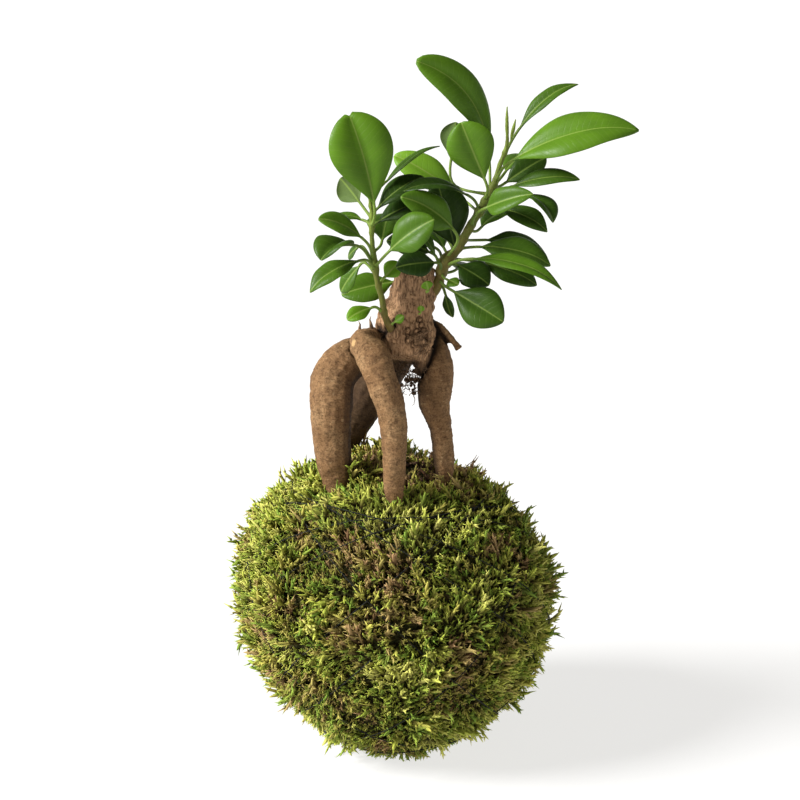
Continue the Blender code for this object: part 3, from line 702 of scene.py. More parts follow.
class Growth:
    """A Geometry Nodes tree and short ways to add and join its nodes."""

    def __init__(self, name, inputs):
        self.tree = bpy.data.node_groups.new(name, "GeometryNodeTree")
        face = self.tree.interface
        face.new_socket("Geometry", in_out="INPUT", socket_type="NodeSocketGeometry")
        self.names = {}
        for label, kind in inputs:
            made = face.new_socket(label, in_out="INPUT", socket_type="NodeSocket" + kind)
            self.names[label] = made.identifier
        face.new_socket("Geometry", in_out="OUTPUT", socket_type="NodeSocketGeometry")
        self.given = self.tree.nodes.new("NodeGroupInput")
        self.made = self.tree.nodes.new("NodeGroupOutput")

    def node(self, kind, settings=None, **values):
        made = self.tree.nodes.new(kind)
        for name, value in (settings or {}).items():
            setattr(made, name, value)
        for name, value in values.items():
            self.feed(value, made.inputs[name.replace("_", " ")])
        return made

    def feed(self, value, socket):
        if isinstance(value, bpy.types.NodeSocket):
            self.tree.links.new(value, socket)
        else:
            socket.default_value = value

    def maths(self, operation, first, second=0.0):
        made = self.node("ShaderNodeMath", {"operation": operation})
        self.feed(first, made.inputs[0])
        self.feed(second, made.inputs[1])
        return made.outputs[0]

    def vector(self, operation, first, second=(0, 0, 0), scale=None):
        made = self.node("ShaderNodeVectorMath", {"operation": operation})
        self.feed(first, made.inputs[0])
        if scale is None:
            self.feed(second, made.inputs[1])
        else:
            self.feed(scale, made.inputs["Scale"])
        return made.outputs[0]

    def span(self, value, low, high, to_low, to_high):
        made = self.node("ShaderNodeMapRange")
        for given, socket in zip((value, low, high, to_low, to_high), made.inputs):
            self.feed(given, socket)
        return made.outputs[0]

    def chance(self, low, high, seed):
        made = self.node("FunctionNodeRandomValue", {"data_type": "FLOAT"})
        made.inputs[2].default_value = low
        made.inputs[3].default_value = high
        made.inputs["Seed"].default_value = seed
        return made.outputs[1]

    def joined(self, x, y, z=0.0):
        made = self.node("ShaderNodeCombineXYZ")
        for value, socket in zip((x, y, z), made.inputs):
            self.feed(value, socket)
        return made.outputs[0]


def lean_of_shoots(growth, position, stirred, fan, seed):
    """Which way each shoot leans: combed in patches, spread from the middle of its fan, and outwards."""
    comb = growth.node("ShaderNodeTexNoise", Vector=position, Scale=40.0, Detail=1.0)
    centred = growth.vector("SUBTRACT", comb.outputs["Color"], (0.5, 0.5, 0.5))
    combed = growth.vector("SCALE", centred, scale=4.5)
    spread = growth.vector("SUBTRACT", stirred, fan.outputs["Position"])
    spread = growth.vector("SCALE", spread, scale=0.8 * FANS_PER_METRE)
    stray = growth.node("FunctionNodeRandomValue", {"data_type": "FLOAT_VECTOR"})
    stray.inputs["Min"].default_value = (-0.35, -0.35, -0.35)
    stray.inputs["Max"].default_value = (0.35, 0.35, 0.35)
    growth.feed(seed, stray.inputs["Seed"])
    way = growth.vector("ADD", growth.vector("ADD", spread, combed), stray.outputs[0])
    way = growth.vector("ADD", way, (-0.12, 0, 0.42))
    outward = growth.vector("NORMALIZE", growth.vector("SUBTRACT", position, tuple(BALL_CENTRE * MM)))
    along = growth.node("ShaderNodeVectorMath", {"operation": "DOT_PRODUCT"})
    growth.feed(way, along.inputs[0])
    growth.feed(outward, along.inputs[1])
    rise = growth.maths("SUBTRACT", 0.75, growth.maths("MULTIPLY", along.outputs["Value"], 0.8))
    return growth.vector("ADD", way, growth.vector("SCALE", outward, scale=rise))


def turn_of_shoots(growth, way):
    """Stands each shoot along its lean and spins it about itself."""
    turned = growth.node("FunctionNodeAlignRotationToVector", {"axis": "Z"}, Vector=way)
    twist = growth.node("FunctionNodeAxisAngleToRotation", Angle=growth.chance(0.0, math.tau, 5))
    twist.inputs["Axis"].default_value = (0, 0, 1)
    spun = growth.node("FunctionNodeRotateRotation", {"rotation_space": "LOCAL"})
    growth.feed(turned.outputs[0], spun.inputs[0])
    growth.feed(twist.outputs[0], spun.inputs[1])
    return spun.outputs[0]


def size_of_shoots(growth, place, fan, cord, length):
    """Few long shoots among short ones, longest in the middle of a fan, short by the thread and below."""
    thread = growth.node("GeometryNodeObjectInfo", {"transform_space": "RELATIVE"}, Object=cord)
    near = growth.node("GeometryNodeProximity", {"target_element": "EDGES"})
    growth.feed(thread.outputs["Geometry"], near.inputs[0])
    closest, clear = PRESSED_SPAN
    pressed = growth.span(near.outputs["Distance"], closest * MM, clear * MM, PRESSED_SCALE, 1.0)
    tuft = growth.span(fan.outputs["Distance"], 0.2, 0.75, 1.2, 0.65)
    rare = growth.maths("ADD", growth.maths("POWER", growth.chance(0.0, 1.0, 11), 4.0), 0.7)
    scale = growth.maths("MULTIPLY", growth.maths("MULTIPLY", rare, tuft), pressed)
    low = growth.span(place.outputs[2], 2 * MM, 25 * MM, 0.6, 1.0)
    return growth.maths("MULTIPLY", growth.maths("MULTIPLY", scale, low), length)


def tint_of_shoots(growth, position, place, fan):
    """A tint from 0 to 1: broad patches, by fan and by shoot, and brown round the crown, dry and painted
    shade.
    """
    field = growth.node("ShaderNodeTexNoise", Vector=position, Scale=30.0, Detail=2.0, Roughness=0.6)
    dyed = growth.node("ShaderNodeSeparateXYZ", Vector=fan.outputs["Color"])
    patch = growth.span(field.outputs[0], 0.3, 0.7, 0.04, 0.66)
    tint = growth.maths("ADD", patch, growth.span(dyed.outputs[0], 0, 1, 0.0, 0.5))
    aside = growth.node("ShaderNodeVectorMath", {"operation": "DISTANCE"})
    growth.feed(growth.joined(place.outputs[0], place.outputs[1]), aside.inputs[0])
    aside.inputs[1].default_value = CROWN * MM
    # Round the crown the tint falls to brown: partly dry moss, partly painted shade from the legs.
    inside, outside = DRY_AND_SHADE_SPAN
    dry = growth.span(aside.outputs["Value"], inside * MM, outside * MM, -0.5, 0.0)
    bottom, top = DRY_AND_SHADE_HEIGHTS
    dry = growth.maths("MULTIPLY", dry, growth.span(place.outputs[2], bottom * MM, top * MM, 0.0, 1.0))
    tint = growth.maths("ADD", growth.maths("ADD", tint, dry), growth.chance(-0.22, 0.22, 17))
    return growth.span(tint, 0, 1, 0.01, 0.99)


def moss_growth():
    """The tree that stands moss shoots on a surface, combed in patches and pressed down by the thread."""
    growth = Growth("moss growth", (
        ("Shoots", "Collection"), ("Density", "Float"), ("Length", "Float"), ("Seed", "Int"),
        ("Thread", "Object"), ("Material", "Material"),
    ))
    given = growth.given.outputs
    position = growth.node("GeometryNodeInputPosition").outputs[0]
    place = growth.node("ShaderNodeSeparateXYZ", Vector=position)
    sown = growth.node("GeometryNodeDistributePointsOnFaces", {"distribute_method": "RANDOM"})
    growth.feed(given["Geometry"], sown.inputs["Mesh"])
    growth.feed(given["Density"], sown.inputs["Density"])
    growth.feed(given["Seed"], sown.inputs["Seed"])

    stir = growth.node("ShaderNodeTexNoise", Vector=position, Scale=140.0, Detail=2.0)
    stirred = growth.vector("SUBTRACT", stir.outputs["Color"], (0.5, 0.5, 0.5))
    stirred = growth.vector("ADD", position, growth.vector("SCALE", stirred, scale=0.022))
    fan = growth.node("ShaderNodeTexVoronoi", Vector=stirred, Scale=FANS_PER_METRE)
    way = lean_of_shoots(growth, position, stirred, fan, given["Seed"])

    kinds = growth.node(
        "GeometryNodeCollectionInfo", Collection=given["Shoots"], Separate_Children=True, Reset_Children=True,
    )
    grown = growth.node("GeometryNodeInstanceOnPoints", Pick_Instance=True)
    growth.feed(sown.outputs["Points"], grown.inputs["Points"])
    growth.feed(kinds.outputs[0], grown.inputs["Instance"])
    growth.feed(turn_of_shoots(growth, way), grown.inputs["Rotation"])
    growth.feed(size_of_shoots(growth, place, fan, given["Thread"], given["Length"]), grown.inputs["Scale"])

    by_shoot = {"data_type": "FLOAT", "domain": "INSTANCE"}
    tinted = growth.node("GeometryNodeStoreNamedAttribute", by_shoot, Name="tint")
    growth.feed(grown.outputs[0], tinted.inputs["Geometry"])
    growth.feed(tint_of_shoots(growth, position, place, fan), tinted.inputs["Value"])

    whole = growth.node("GeometryNodeRealizeInstances")
    growth.feed(tinted.outputs[0], whole.inputs["Geometry"])
    lifted = growth.maths("MAXIMUM", place.outputs[2], MOSS_BOTTOM * MM)
    above = growth.joined(place.outputs[0], place.outputs[1], lifted)
    rested = growth.node("GeometryNodeSetPosition", Position=above)
    growth.feed(whole.outputs[0], rested.inputs["Geometry"])

    kept = growth.node("GeometryNodeInputNamedAttribute", {"data_type": "FLOAT"}, Name="tint")
    drawn = growth.node("GeometryNodeInputNamedAttribute", {"data_type": "FLOAT_VECTOR"}, Name="OFBake")
    root_to_tip = growth.node("ShaderNodeSeparateXYZ", Vector=drawn.outputs[0])
    by_corner = {"data_type": "FLOAT2", "domain": "CORNER"}
    mapped = growth.node("GeometryNodeStoreNamedAttribute", by_corner, Name="OFBake")
    growth.feed(rested.outputs[0], mapped.inputs["Geometry"])
    growth.feed(growth.joined(kept.outputs[0], root_to_tip.outputs[1]), mapped.inputs["Value"])
    clothed = growth.node("GeometryNodeSetMaterial")
    growth.feed(mapped.outputs[0], clothed.inputs["Geometry"])
    growth.feed(given["Material"], clothed.inputs["Material"])
    growth.feed(clothed.outputs[0], growth.made.inputs[0])
    return growth


def mat_sector(mat, number):
    """The part of the mat's surface that one piece of moss grows from, without the crown's bare soil."""
    form = bmesh.new()
    form.from_mesh(mat.data)
    strays = []
    for patch in form.faces:
        centre = patch.calc_center_median() / MM
        sector = int((math.atan2(centre.y, centre.x) / math.tau % 1) * MOSS_SECTORS)
        beside = (Vector((centre.x, centre.y, 0)) - CROWN).length
        bare = centre.z > BALL_CENTRE.z and beside < CROWN_RADIUS * BARE_SHARE
        if sector != number or bare or centre.z < 0.8:
            strays.append(patch)
    bmesh.ops.delete(form, geom=strays, context="FACES")
    mesh = bpy.data.meshes.new("sector")
    form.to_mesh(mesh)
    form.free()
    return mesh


def grow_moss(mat, thread, material):
    """The moss in sectors round the ball, each a plain mesh."""
    kinds = bpy.data.collections.new("moss shoots")
    for number in range(SHOOT_KINDS):
        shoot_kind(f"shoot {number}", 31 * number, 5 + number * 0.6, number % 3, 6 - number % 3, kinds)
    growth = moss_growth()
    pieces = []
    for number in range(MOSS_SECTORS):
        ground = link_mesh("ground", mat_sector(mat, number), material)
        grower = ground.modifiers.new("moss", "NODES")
        grower.node_group = growth.tree
        values = {
            "Shoots": kinds, "Density": SHOOTS_PER_SQUARE_METRE, "Length": SHOOT_SCALE,
            "Seed": number + 1, "Thread": thread, "Material": material,
        }
        for name, value in values.items():
            grower[growth.names[name]] = value
        ground.update_tag()
        bpy.context.view_layer.update()
        mesh = evaluated_mesh(ground)
        remove_object(ground)
        pieces.append(link_mesh(f"moss_shoots_{number + 1:02d}", mesh, material))
    for shoot in list(kinds.objects):
        remove_object(shoot)
    bpy.data.collections.remove(kinds)
    return pieces


def thread_course():
    """The thread's middle line and outward directions: each turn passes over the turns before it."""
    middles = []
    outwards = []
    for step in range(THREAD_TURNS * THREAD_STEPS + 1):
        turns = step / THREAD_STEPS
        drift = THREAD_START + THREAD_DRIFT * turns
        level = Vector((-math.sin(drift), math.cos(drift), 0))
        aside = Vector((math.cos(drift), math.sin(drift), 0))
        normal = aside * math.sin(THREAD_TILT) + Vector((0, 0, math.cos(THREAD_TILT)))
        angle = math.tau * turns
        outward = level * math.cos(angle) + normal.cross(level) * math.sin(angle)
        low = min(max(-outward.z - 0.35, 0) * 4, 1)
        middles.append(moss_point(outward, THREAD_LIFT - THREAD_DIP * low))
        outwards.append(outward)
    course = np.array(middles)
    for step in range(THREAD_STEPS // 2, len(course)):
        earlier = course[: step - THREAD_STEPS // 3]
        nearest = np.sqrt(((earlier - course[step]) ** 2).sum(1).min())
        middles[step] += outwards[step] * (3 * THREAD_RADIUS * math.exp(-((nearest / THREAD_CROSSING) ** 2)))
    return middles, outwards


def make_thread(material):
    """Two strands twisted together, wound over the ball."""
    middles, outwards = thread_course()
    strands = ([], [])
    for step, (middle, outward) in enumerate(zip(middles, outwards)):
        onward = (middles[min(step + 1, len(middles) - 1)] - middles[max(step - 1, 0)]).normalized()
        aside = onward.cross(outward)
        twist = math.tau * (step * THREAD_STEP_LENGTH / THREAD_TWIST)
        for strand, half_turn in zip(strands, (0, math.pi)):
            away = outward * math.cos(twist + half_turn) + aside * math.sin(twist + half_turn)
            centre = middle + away * (THREAD_RADIUS * STRAND_OFFSET)
            strand.append((*centre, THREAD_RADIUS * STRAND_SHARE))
    return tubes("twisted_thread", strands, material, 0)


# ---- the trunk ----


def limb_fields(places):
    """For points on the trunk: how deep in a crease between limbs, the nearest limb, and how far along it."""
    gaps = []
    travels = []
    for limb in LIMBS:
        route = np.array(smooth_route(limb, 12))
        steps = np.linalg.norm(np.diff(route[:, :3], axis=0), axis=1)
        travel = np.concatenate([[0], np.cumsum(steps)])
        reach = np.linalg.norm(places[:, None, :] - route[None, :, :3], axis=2) - route[:, 3]
        nearest = reach.argmin(1)
        gaps.append(reach.min(1))
        travels.append(travel[nearest])
    gaps = np.array(gaps)
    gaps[GRAFT] += 4
    order = np.argsort(gaps, axis=0)
    every = np.arange(len(places))
    spacing = gaps[order[1], every] - gaps[order[0], every]
    return np.exp(-((spacing / CREASE_WIDTH) ** 2)), order[0], np.array(travels)[order[0], every]


def limbs_grown_together():
    """One mesh of all the limbs, remeshed as one skin and softened."""
    limbs = tubes("trunk_limbs", [smooth_route(limb, 5) for limb in LIMBS], None, 5)
    skin = limbs.modifiers.new("grown together", "REMESH")
    skin.mode = "VOXEL"
    skin.voxel_size = BARK_GRAIN * MM
    soften = limbs.modifiers.new("soften", "SMOOTH")
    soften.iterations = 4
    mesh = evaluated_mesh(limbs)
    remove_object(limbs)
    return mesh


def scatter_warts():
    """Places on the front of the swelling, each with its wart's size."""
    chance = random.Random(8)
    warts = []
    for _ in range(WARTS):
        place = Vector((chance.gauss(*WARTS_ACROSS), 0, chance.gauss(*WARTS_UP)))
        warts.append((place, chance.uniform(*WART_SIZES)))
    return warts


def wart_height(place, warts):
    """How far warts raise the bark at a place, and how deep the crease round one is there."""
    height = 0
    ring = 0
    for wart, size in warts:
        beside = (place - wart).xz.length
        if beside < size:
            height += 1.3 * size * (1 - (beside / size) ** 2)
        elif beside <= 1.4 * size:
            ring = WART_RING
    return height, ring


def bark_height(place, grain, rough):
    """The lumps and rings of the bark, which is coarser where it is rough."""
    height = 0.5 * noise.noise(place / 9) + 0.3 * noise.noise(place / 3.5)
    height += (0.16 - 0.1 * rough) * noise.noise(grain) + 0.1 * noise.noise(grain * 2.3)
    height += (0.1 + 0.45 * rough) * noise.noise(Vector((place.x, place.y, place.z * 0.7)) / 1.2)
    height += (0.1 + 0.7 * rough) * noise.noise(Vector((place.x * 0.8, place.y * 0.8, place.z)) / 2.2)
    return height


def make_trunk(material):
    """The limbs grown together, with creases between them, lumps, rings, warts and a rough neck."""
    mesh = limbs_grown_together()
    count = len(mesh.vertices)
    places = np.empty(count * 3)
    mesh.vertices.foreach_get("co", places)
    places = places.reshape(-1, 3) / MM
    creases, nearest, travels = limb_fields(places)
    warts = scatter_warts()
    marks = {name: np.zeros(count) for name in ("neck", "crease", "scar", "painted_inner_shade")}
    grains = np.zeros((count, 3))
    normals = [vert.normal.copy() for vert in mesh.vertices]
    for index, (vert, normal) in enumerate(zip(mesh.vertices, normals)):
        place = Vector(places[index])
        limb = nearest[index]
        # The swelling is kept rough: coarse bark, and a lighter red colour that is partly painted light.
        least = SWELLING_ROUGHNESS_AND_LIGHT if limb == SWELLING else 0
        rough = min(max((place.z - NECK_FOOT) / NECK_RISE, least), 1)
        crease = creases[index] * min(max((4 - place.y) / 12, 0.15), 1)
        if place.z < LEG_TOP:
            crease *= 0.3
        grain = Vector((place.x * 0.3, place.y * 0.3, travels[index] * 1.7 + 40 * limb))
        height = bark_height(place, grain, rough)
        if limb == SWELLING and place.y <= WARTS_BACK:
            raised, ring = wart_height(place, warts)
            height += raised
            crease = max(crease, ring)
        vert.co += normal * ((height - CREASE_DEPTH * crease) * MM)
        # Painted shade: how far the bark faces in between the legs, or is the front of the hind root, below
        # the neck.
        inward = normal.xy.dot((PAINTED_SHADE_CENTRE - place.xy).normalized())
        if limb == HIND_ROOT:
            inward = max(inward, -normal.y)
        marks["painted_inner_shade"][index] = min(max(inward * 1.4 + 0.3, 0), 1) * min(max((178 - place.z) / 8, 0), 1)
        marks["neck"][index] = rough
        # The crease also darkens the bark's colour as painted shade.
        marks["crease"][index] = min(crease * 1.1, 1)
        marks["scar"][index] = 1 if (place - SCAR).length < SCAR_RADIUS else 0
        grains[index] = grain
    for name, values in marks.items():
        mesh.attributes.new(name, "FLOAT", "POINT").data.foreach_set("value", values)
    mesh.attributes.new("grain", "FLOAT_VECTOR", "POINT").data.foreach_set("vector", grains.ravel())
    return link_mesh("trunk_bark", mesh, material)


def hair(chance, start, heading, length, radius, wander):
    """A thin root that wanders and thins out."""
    place = Vector(start)
    heading = Vector(heading).normalized()
    route = []
    for step in range(HAIR_STEPS):
        route.append((*place, radius * (1 - 0.7 * step / HAIR_STEPS)))
        bend = Vector((chance.gauss(0, wander), chance.gauss(0, wander), chance.gauss(0, wander)))
        heading = (heading + bend).normalized()
        place = place + heading * (length / HAIR_STEPS)
    return route


def make_rootlets(material):
    """Fine dry roots: under the swelling, between the legs, on the crown, and two old spikes."""
    chance = random.Random(21)
    routes = list(SPIKES)
    for _ in range(BEARD_ROOTS):
        across = chance.uniform(-3, 15)
        start = (across, -17 + abs(across - 5) * 0.25, chance.uniform(167, 172))
        heading = (chance.uniform(-1, 1), -0.5, -0.6)
        routes.append(hair(chance, start, heading, chance.uniform(5, 11), 0.16, 0.35))
    for _ in range(TANGLE_ROOTS):
        start = (chance.uniform(4, 11), chance.uniform(-15, -7), chance.uniform(157, 166))
        heading = (chance.uniform(-1, 1), chance.uniform(-1, 1), chance.uniform(-1, 0.6))
        routes.append(hair(chance, start, heading, chance.uniform(4, 9), 0.22, 0.6))
    for _ in range(SIDE_ROOTS):
        start = (chance.uniform(11, 16), -18, chance.uniform(172, 186))
        routes.append(hair(chance, start, (-0.5, -0.6, -1), chance.uniform(5, 10), 0.2, 0.4))
    for lone_root in LONE_ROOTS:
        routes.append(hair(chance, *lone_root))
    for _ in range(CROWN_ROOTS):
        angle = chance.uniform(0, math.tau)
        start = Vector((4 + 13 * math.cos(angle), -6 + 13 * math.sin(angle), 121.5))
        heading = (chance.uniform(-1, 1), chance.uniform(-1, 1), chance.uniform(0, 0.7))
        routes.append(hair(chance, start, heading, chance.uniform(5, 13), 0.2, 0.4))
    return tubes("fine_roots", routes, material, 0)


def make_crumbs(material):
    """Crumbs of peat caught between the legs and lying on the crown."""
    chance = random.Random(4)
    form = bmesh.new()
    for number in range(CRUMBS):
        if number < TANGLE_CRUMBS:
            place = Vector((chance.gauss(7.5, 2), chance.gauss(-11, 2), chance.gauss(162, 2)))
        else:
            place = Vector((chance.gauss(6, 9), chance.gauss(-5, 9), chance.uniform(121, 124)))
        made = bmesh.ops.create_icosphere(form, subdivisions=1, radius=chance.uniform(0.4, 1.1) * MM)
        for vert in made["verts"]:
            vert.co *= chance.uniform(0.7, 1.25)
            vert.co += place * MM
    mesh = bpy.data.meshes.new("peat_crumbs")
    form.to_mesh(mesh)
    form.free()
    return link_mesh("peat_crumbs", mesh, material)


# ---- shoots and leaves ----


def shoot_at(shoot, height):
    """The centre, the direction and the radius of a shoot at a height."""
    route = smooth_route(SHOOTS[shoot], 3)
    for low, high in zip(route, route[1:]):
        if high.z >= height:
            share = (height - low.z) / (high.z - low.z)
            here = low.lerp(high, share)
            return here.xyz, (high.xyz - low.xyz).normalized(), here.w
    return route[-1].xyz, (route[-1].xyz - route[-2].xyz).normalized(), route[-1].w


def square_ring(place, side, normal, radius, count=RING_POINTS):
    ring = []
    for step in range(count):
        angle = math.tau * step / count
        ring.append(place + (side * math.cos(angle) + normal * math.sin(angle)) * radius)
    return ring


def loft(name, rings, uvs, material, blade=None, tone=0.5):
    """A closed skin over rings of equal count, its ends drawn together, with the UV of each ring point."""
    form = bmesh.new()
    bake = form.loops.layers.uv.new("OFBake")
    second = form.loops.layers.uv.new("blade") if blade else None
    count = len(rings[0])
    loops = [[form.verts.new(corner * MM) for corner in ring] for ring in rings]
    for row in range(len(rings) - 1):
        for step in range(count):
            beyond = (step + 1) % count
            corners = (loops[row][step], loops[row][beyond], loops[row + 1][beyond], loops[row + 1][step])
            made = form.faces.new(corners)
            marks = ((row, step), (row, step + 1), (row + 1, step + 1), (row + 1, step))
            for loop, (level, around) in zip(made.loops, marks):
                loop[bake].uv = (around / count, uvs[level])
                if blade:
                    loop[second].uv = blade[level][around % count]
    for ring, level in ((loops[0][::-1], 0), (loops[-1], len(rings) - 1)):
        made = form.faces.new(ring)
        for number, loop in enumerate(made.loops):
            loop[bake].uv = (number / count, uvs[level])
            if blade:
                loop[second].uv = blade[level][number]
    bmesh.ops.recalc_face_normals(form, faces=form.faces)
    mesh = bpy.data.meshes.new(name)
    form.to_mesh(mesh)
    form.free()
    value = mesh.attributes.new("tone", "FLOAT", "POINT")
    value.data.foreach_set("value", [tone] * len(mesh.vertices))
    return link_mesh(name, mesh, material)


def stem_rings(route, swellings=()):
    """Rings square to a route, without twist, swollen where leaves start."""
    rings = []
    side = Vector((1, 0, 0))
    for index, point in enumerate(route):
        before = route[max(index - 1, 0)].xyz
        after = route[min(index + 1, len(route) - 1)].xyz
        along = (after - before).normalized()
        side = (side - along * side.dot(along)).normalized()
        radius = point.w * 0.95
        for height in swellings:
            radius += 0.3 * math.exp(-(((point.z - height) / 1) ** 2))
        rings.append(square_ring(point.xyz, side, along.cross(side), radius, STEM_RING_POINTS))
    return rings


def make_shoot(name, material):
    """A stem with a swelling at each leaf and fine unevenness."""
    heights = [leaf[1] for leaves in LEAVES.values() for leaf in leaves if leaf[0] == name]
    route = smooth_route(SHOOTS[name], 14)
    rings = stem_rings(route, heights)
    for ring, point in zip(rings, route):
        for number, corner in enumerate(ring):
            away = (corner - point.xyz).normalized()
            ring[number] = corner + away * (0.12 * noise.noise(corner / 1.5) + 0.18 * noise.noise(corner / 4))
    uvs = [index / (len(rings) - 1) for index in range(len(rings))]
    return loft(name + "_stem", rings, uvs, material)


def make_bud(material):
    route = smooth_route(BUD, 6)
    uvs = [1 - 0.2 * index / len(route) for index in range(len(route))]
    return loft("second_bud", stem_rings(route), uvs, material)


def midrib(base, tip, facing, arch, bend, point):
    """A function: at a share of the midrib's length, its place, direction, side and upward normal."""
    chord = tip - base
    along = chord.normalized()
    up = (Vector(facing) - along * along.dot(Vector(facing))).normalized()
    side = up.cross(along)
    lift = up * (2 * chord.length * math.tan(math.radians(arch) / 4))
    sway = side * (2 * chord.length * math.tan(math.radians(bend) / 4))
    droop = -up * (TIP_DROOP * point * chord.length)

    def at(share):
        late = max(0, share - DROOP_START) / (1 - DROOP_START)
        place = base + chord * share + (lift + sway) * (share * (1 - share)) + droop * late**2
        bowed = chord + (lift + sway) * (1 - 2 * share)
        direction = (bowed + droop * (2 * late / (1 - DROOP_START))).normalized()
        normal = (up - direction * up.dot(direction)).normalized()
        return place, direction, normal.cross(direction), normal

    return at


def blade_half_width(share, width, belly, point):
    """A wedge up to the belly, which rounds off to the tip."""
    if share < belly:
        return width / 2 * math.sin(math.pi / 2 * (share / belly) ** BASE_TAPER)
    beyond = (share - belly) / (1 - belly)
    return width / 2 * (1 - beyond**2) ** (0.5 + 0.4 * point)


def stalk_start(holder, height, base):
    if not isinstance(holder, str):
        return Vector(holder)
    centre, along, radius = shoot_at(holder, height)
    outward = base - centre
    outward = (outward - along * outward.dot(along)).normalized()
    return centre + outward * (radius * 0.6)


def blade_ring(place, side, normal, half, stalk, share, length, wave, crease, notch):
    """A ring round the blade: thin, folded up from the midrib, wavy at the edge, with a rib below."""
    ring = []
    marks = []
    flat = min(1, share / 0.1)
    for step in range(RING_POINTS):
        angle = math.tau * step / RING_POINTS
        across = math.cos(angle)
        wide = half * across
        fold = math.sqrt((wide * flat) ** 2 + 0.3) - math.sqrt(0.3)
        curl = 0.16 * half * abs(across) ** 3
        swell = 0.1 * half * flat * (1 - (2 * abs(across) - 1) ** 2)
        ripple = wave * across**4 * math.sin(share * 17 + 2.2 * math.copysign(1, across))
        rib = math.exp(-((wide / 0.55) ** 2)) * (1 - share) * stalk
        thick = BLADE_HALF_THICKNESS * math.sqrt(max(1 - across**6, 0))
        thick = max(thick, 0.05) if abs(across) < 0.999 else 0
        lift = thick if step < RING_POINTS / 2 else -thick - rib * 0.9
        if step < RING_POINTS / 2:
            lift -= rib * 0.25
        height = fold * math.sin(crease) * flat - curl + swell + ripple + lift
        forward = side.cross(normal) * (notch * length * (abs(across) ** 0.5 - 0.6))
        ring.append(place + side * (wide * math.cos(crease * flat)) + normal * height + forward)
        marks.append((wide, share * length))
    return ring, marks


def make_leaf(name, row, material):
    """A closed leaf: round stalk, thin blade with a sunken midrib, a rib below and a wavy edge."""
    holder, height, base, tip, width, facing, arch, bend, belly, point, fold, tone = row
    base = Vector(base)
    tip = Vector(tip)
    at = midrib(base, tip, facing, arch, bend, point)
    start = stalk_start(holder, height, base)
    _, direction, side, normal = at(0)
    thin = min(STALK_RADIUS, width / 12)
    length = (tip - base).length
    knee = base - direction * ((base - start).length * 0.4)
    stalk = interpolate_bezier(start, start.lerp(knee, 0.8), knee, base, STALK_RINGS)
    rings = []
    marks = []
    heading = direction
    for place, after in zip(reversed(stalk[:-1]), reversed(stalk[1:])):
        ahead = (after - place).normalized()
        turn = heading.rotation_difference(ahead)
        side = turn @ side
        normal = turn @ normal
        heading = ahead
        foot = 1 + 0.5 * math.exp(-(((place - start).length / 1.2) ** 2))
        rings.insert(0, square_ring(place, side, normal, thin * foot))
        marks.insert(0, [(0, -1)] * RING_POINTS)
    wave = 0.035 * width * noise.noise(tip / 7)
    crease = math.radians(fold)
    for row_number in range(BLADE_RINGS):
        share = 0.004 + 0.99 * (row_number / (BLADE_RINGS - 1))
        place, direction, side, normal = at(share)
        half = max(blade_half_width(share, width, belly, point), thin * (1 - share) ** 2)
        notch = TIP_NOTCH.get(name, 0) * share**6
        blend = min(1, share / 0.06)
        ring, mark = blade_ring(place, side, normal, half, thin, share, length, wave, crease, notch)
        if blend < 1:
            round_ring = square_ring(place, side, normal, thin)
            ring = [a.lerp(b, blend) for a, b in zip(round_ring, ring)]
        rings.append(ring)
        marks.append(mark)
    reach = [0.0]
    for lower, upper in zip(rings, rings[1:]):
        reach.append(reach[-1] + (sum(upper, Vector()) - sum(lower, Vector())).length / RING_POINTS)
    uvs = [distance / reach[-1] for distance in reach]
    return loft(name + "_blade", rings, uvs, material, marks, tone)


# ---- stage ----


def aim(thing, target):
    thing.rotation_euler = (target - thing.location).to_track_quat("-Z", "Y").to_euler()


def place_camera():
    lens = bpy.data.cameras.new("camera")
    lens.lens = CAMERA_LENS
    lens.sensor_width = CAMERA_SENSOR
    camera = bpy.data.objects.new("camera", lens)
    bpy.context.scene.collection.objects.link(camera)
    back = Vector((0, -math.cos(CAMERA_RISE), math.sin(CAMERA_RISE)))
    camera.location = (CAMERA_TARGET + back * CAMERA_DISTANCE) * MM
    aim(camera, CAMERA_TARGET * MM)
    bpy.context.scene.camera = camera


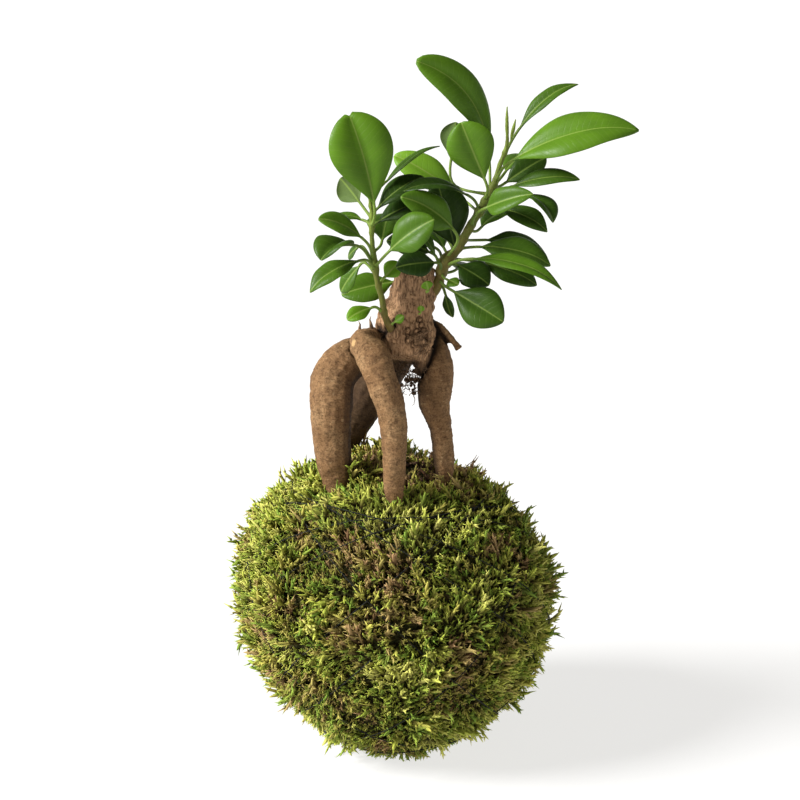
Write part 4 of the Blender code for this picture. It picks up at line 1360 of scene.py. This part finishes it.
def set_stage():
    bpy.ops.mesh.primitive_plane_add(size=FLOOR_WIDTH)
    floor = bpy.context.object
    floor.name = "pale_floor"
    surface = Surface("pale floor", roughness=0.9, specular=0.1)
    grain = surface.noise(surface.place(), 60, 2)
    surface.shader.inputs["Emission Color"].default_value = FLOOR_GLOW
    surface.shader.inputs["Emission Strength"].default_value = FLOOR_GLOW_STRENGTH
    floor.data.materials.append(surface.paint(surface.mix(grain, *FLOOR_GREYS)))
    world = bpy.data.worlds.new("studio")
    bpy.context.scene.world = world
    world.use_nodes = True
    background = world.node_tree.nodes["Background"]
    direction = world.node_tree.nodes.new("ShaderNodeTexCoord")
    height = world.node_tree.nodes.new("ShaderNodeSeparateXYZ")
    glow = world.node_tree.nodes.new("ShaderNodeMapRange")
    for socket, value in zip(glow.inputs[1:5], (*SKY_FADE, *SKY_STRENGTHS)):
        socket.default_value = value
    world.node_tree.links.new(direction.outputs["Generated"], height.inputs[0])
    world.node_tree.links.new(height.outputs[2], glow.inputs[0])
    world.node_tree.links.new(glow.outputs[0], background.inputs[1])
    background.inputs[0].default_value = (1, 1, 1, 1)
    sun = bpy.data.lights.new("key", "SUN")
    sun.energy = SUN_STRENGTH
    sun.angle = SUN_SPREAD
    lamp = bpy.data.objects.new("key", sun)
    bpy.context.scene.collection.objects.link(lamp)
    lamp.location = SUN_PLACE
    aim(lamp, SUN_TARGET)
    bpy.context.scene.view_settings.view_transform = "Standard"


# ---- the plant ----


def build_plant():
    leaf = leaf_material()
    stem = stem_material()
    thread = make_thread(thread_material())
    finish_piece(thread, "thread", "binding_thread")
    mat = make_mat(mat_material())
    finish_piece(mat, "moss", "moss_cover")
    for piece in grow_moss(mat, thread, moss_material()):
        finish_piece(piece, "moss")
    soil = soil_material()
    ball = frame["nodes"]["soil_ball"].data
    ball.materials.clear()
    ball.materials.append(soil)
    finish_piece(make_trunk(bark_material()), "bark", "trunk")
    finish_piece(make_rootlets(dry_material()), "bark")
    finish_piece(make_crumbs(soil), "soil")
    for name in SHOOTS:
        finish_piece(make_shoot(name, stem), "young_bark", name)
    finish_piece(make_bud(stem), "bud", "right_shoot_bud")
    for kind, rows in LEAVES.items():
        slot = "sprout_leaf" if kind == "sprout" else "leaf"
        for number, row in enumerate(rows, 1):
            node = f"{kind}_{number:02d}"
            finish_piece(make_leaf(node, row, leaf), slot, node)


place_camera()
set_stage()
build_plant()
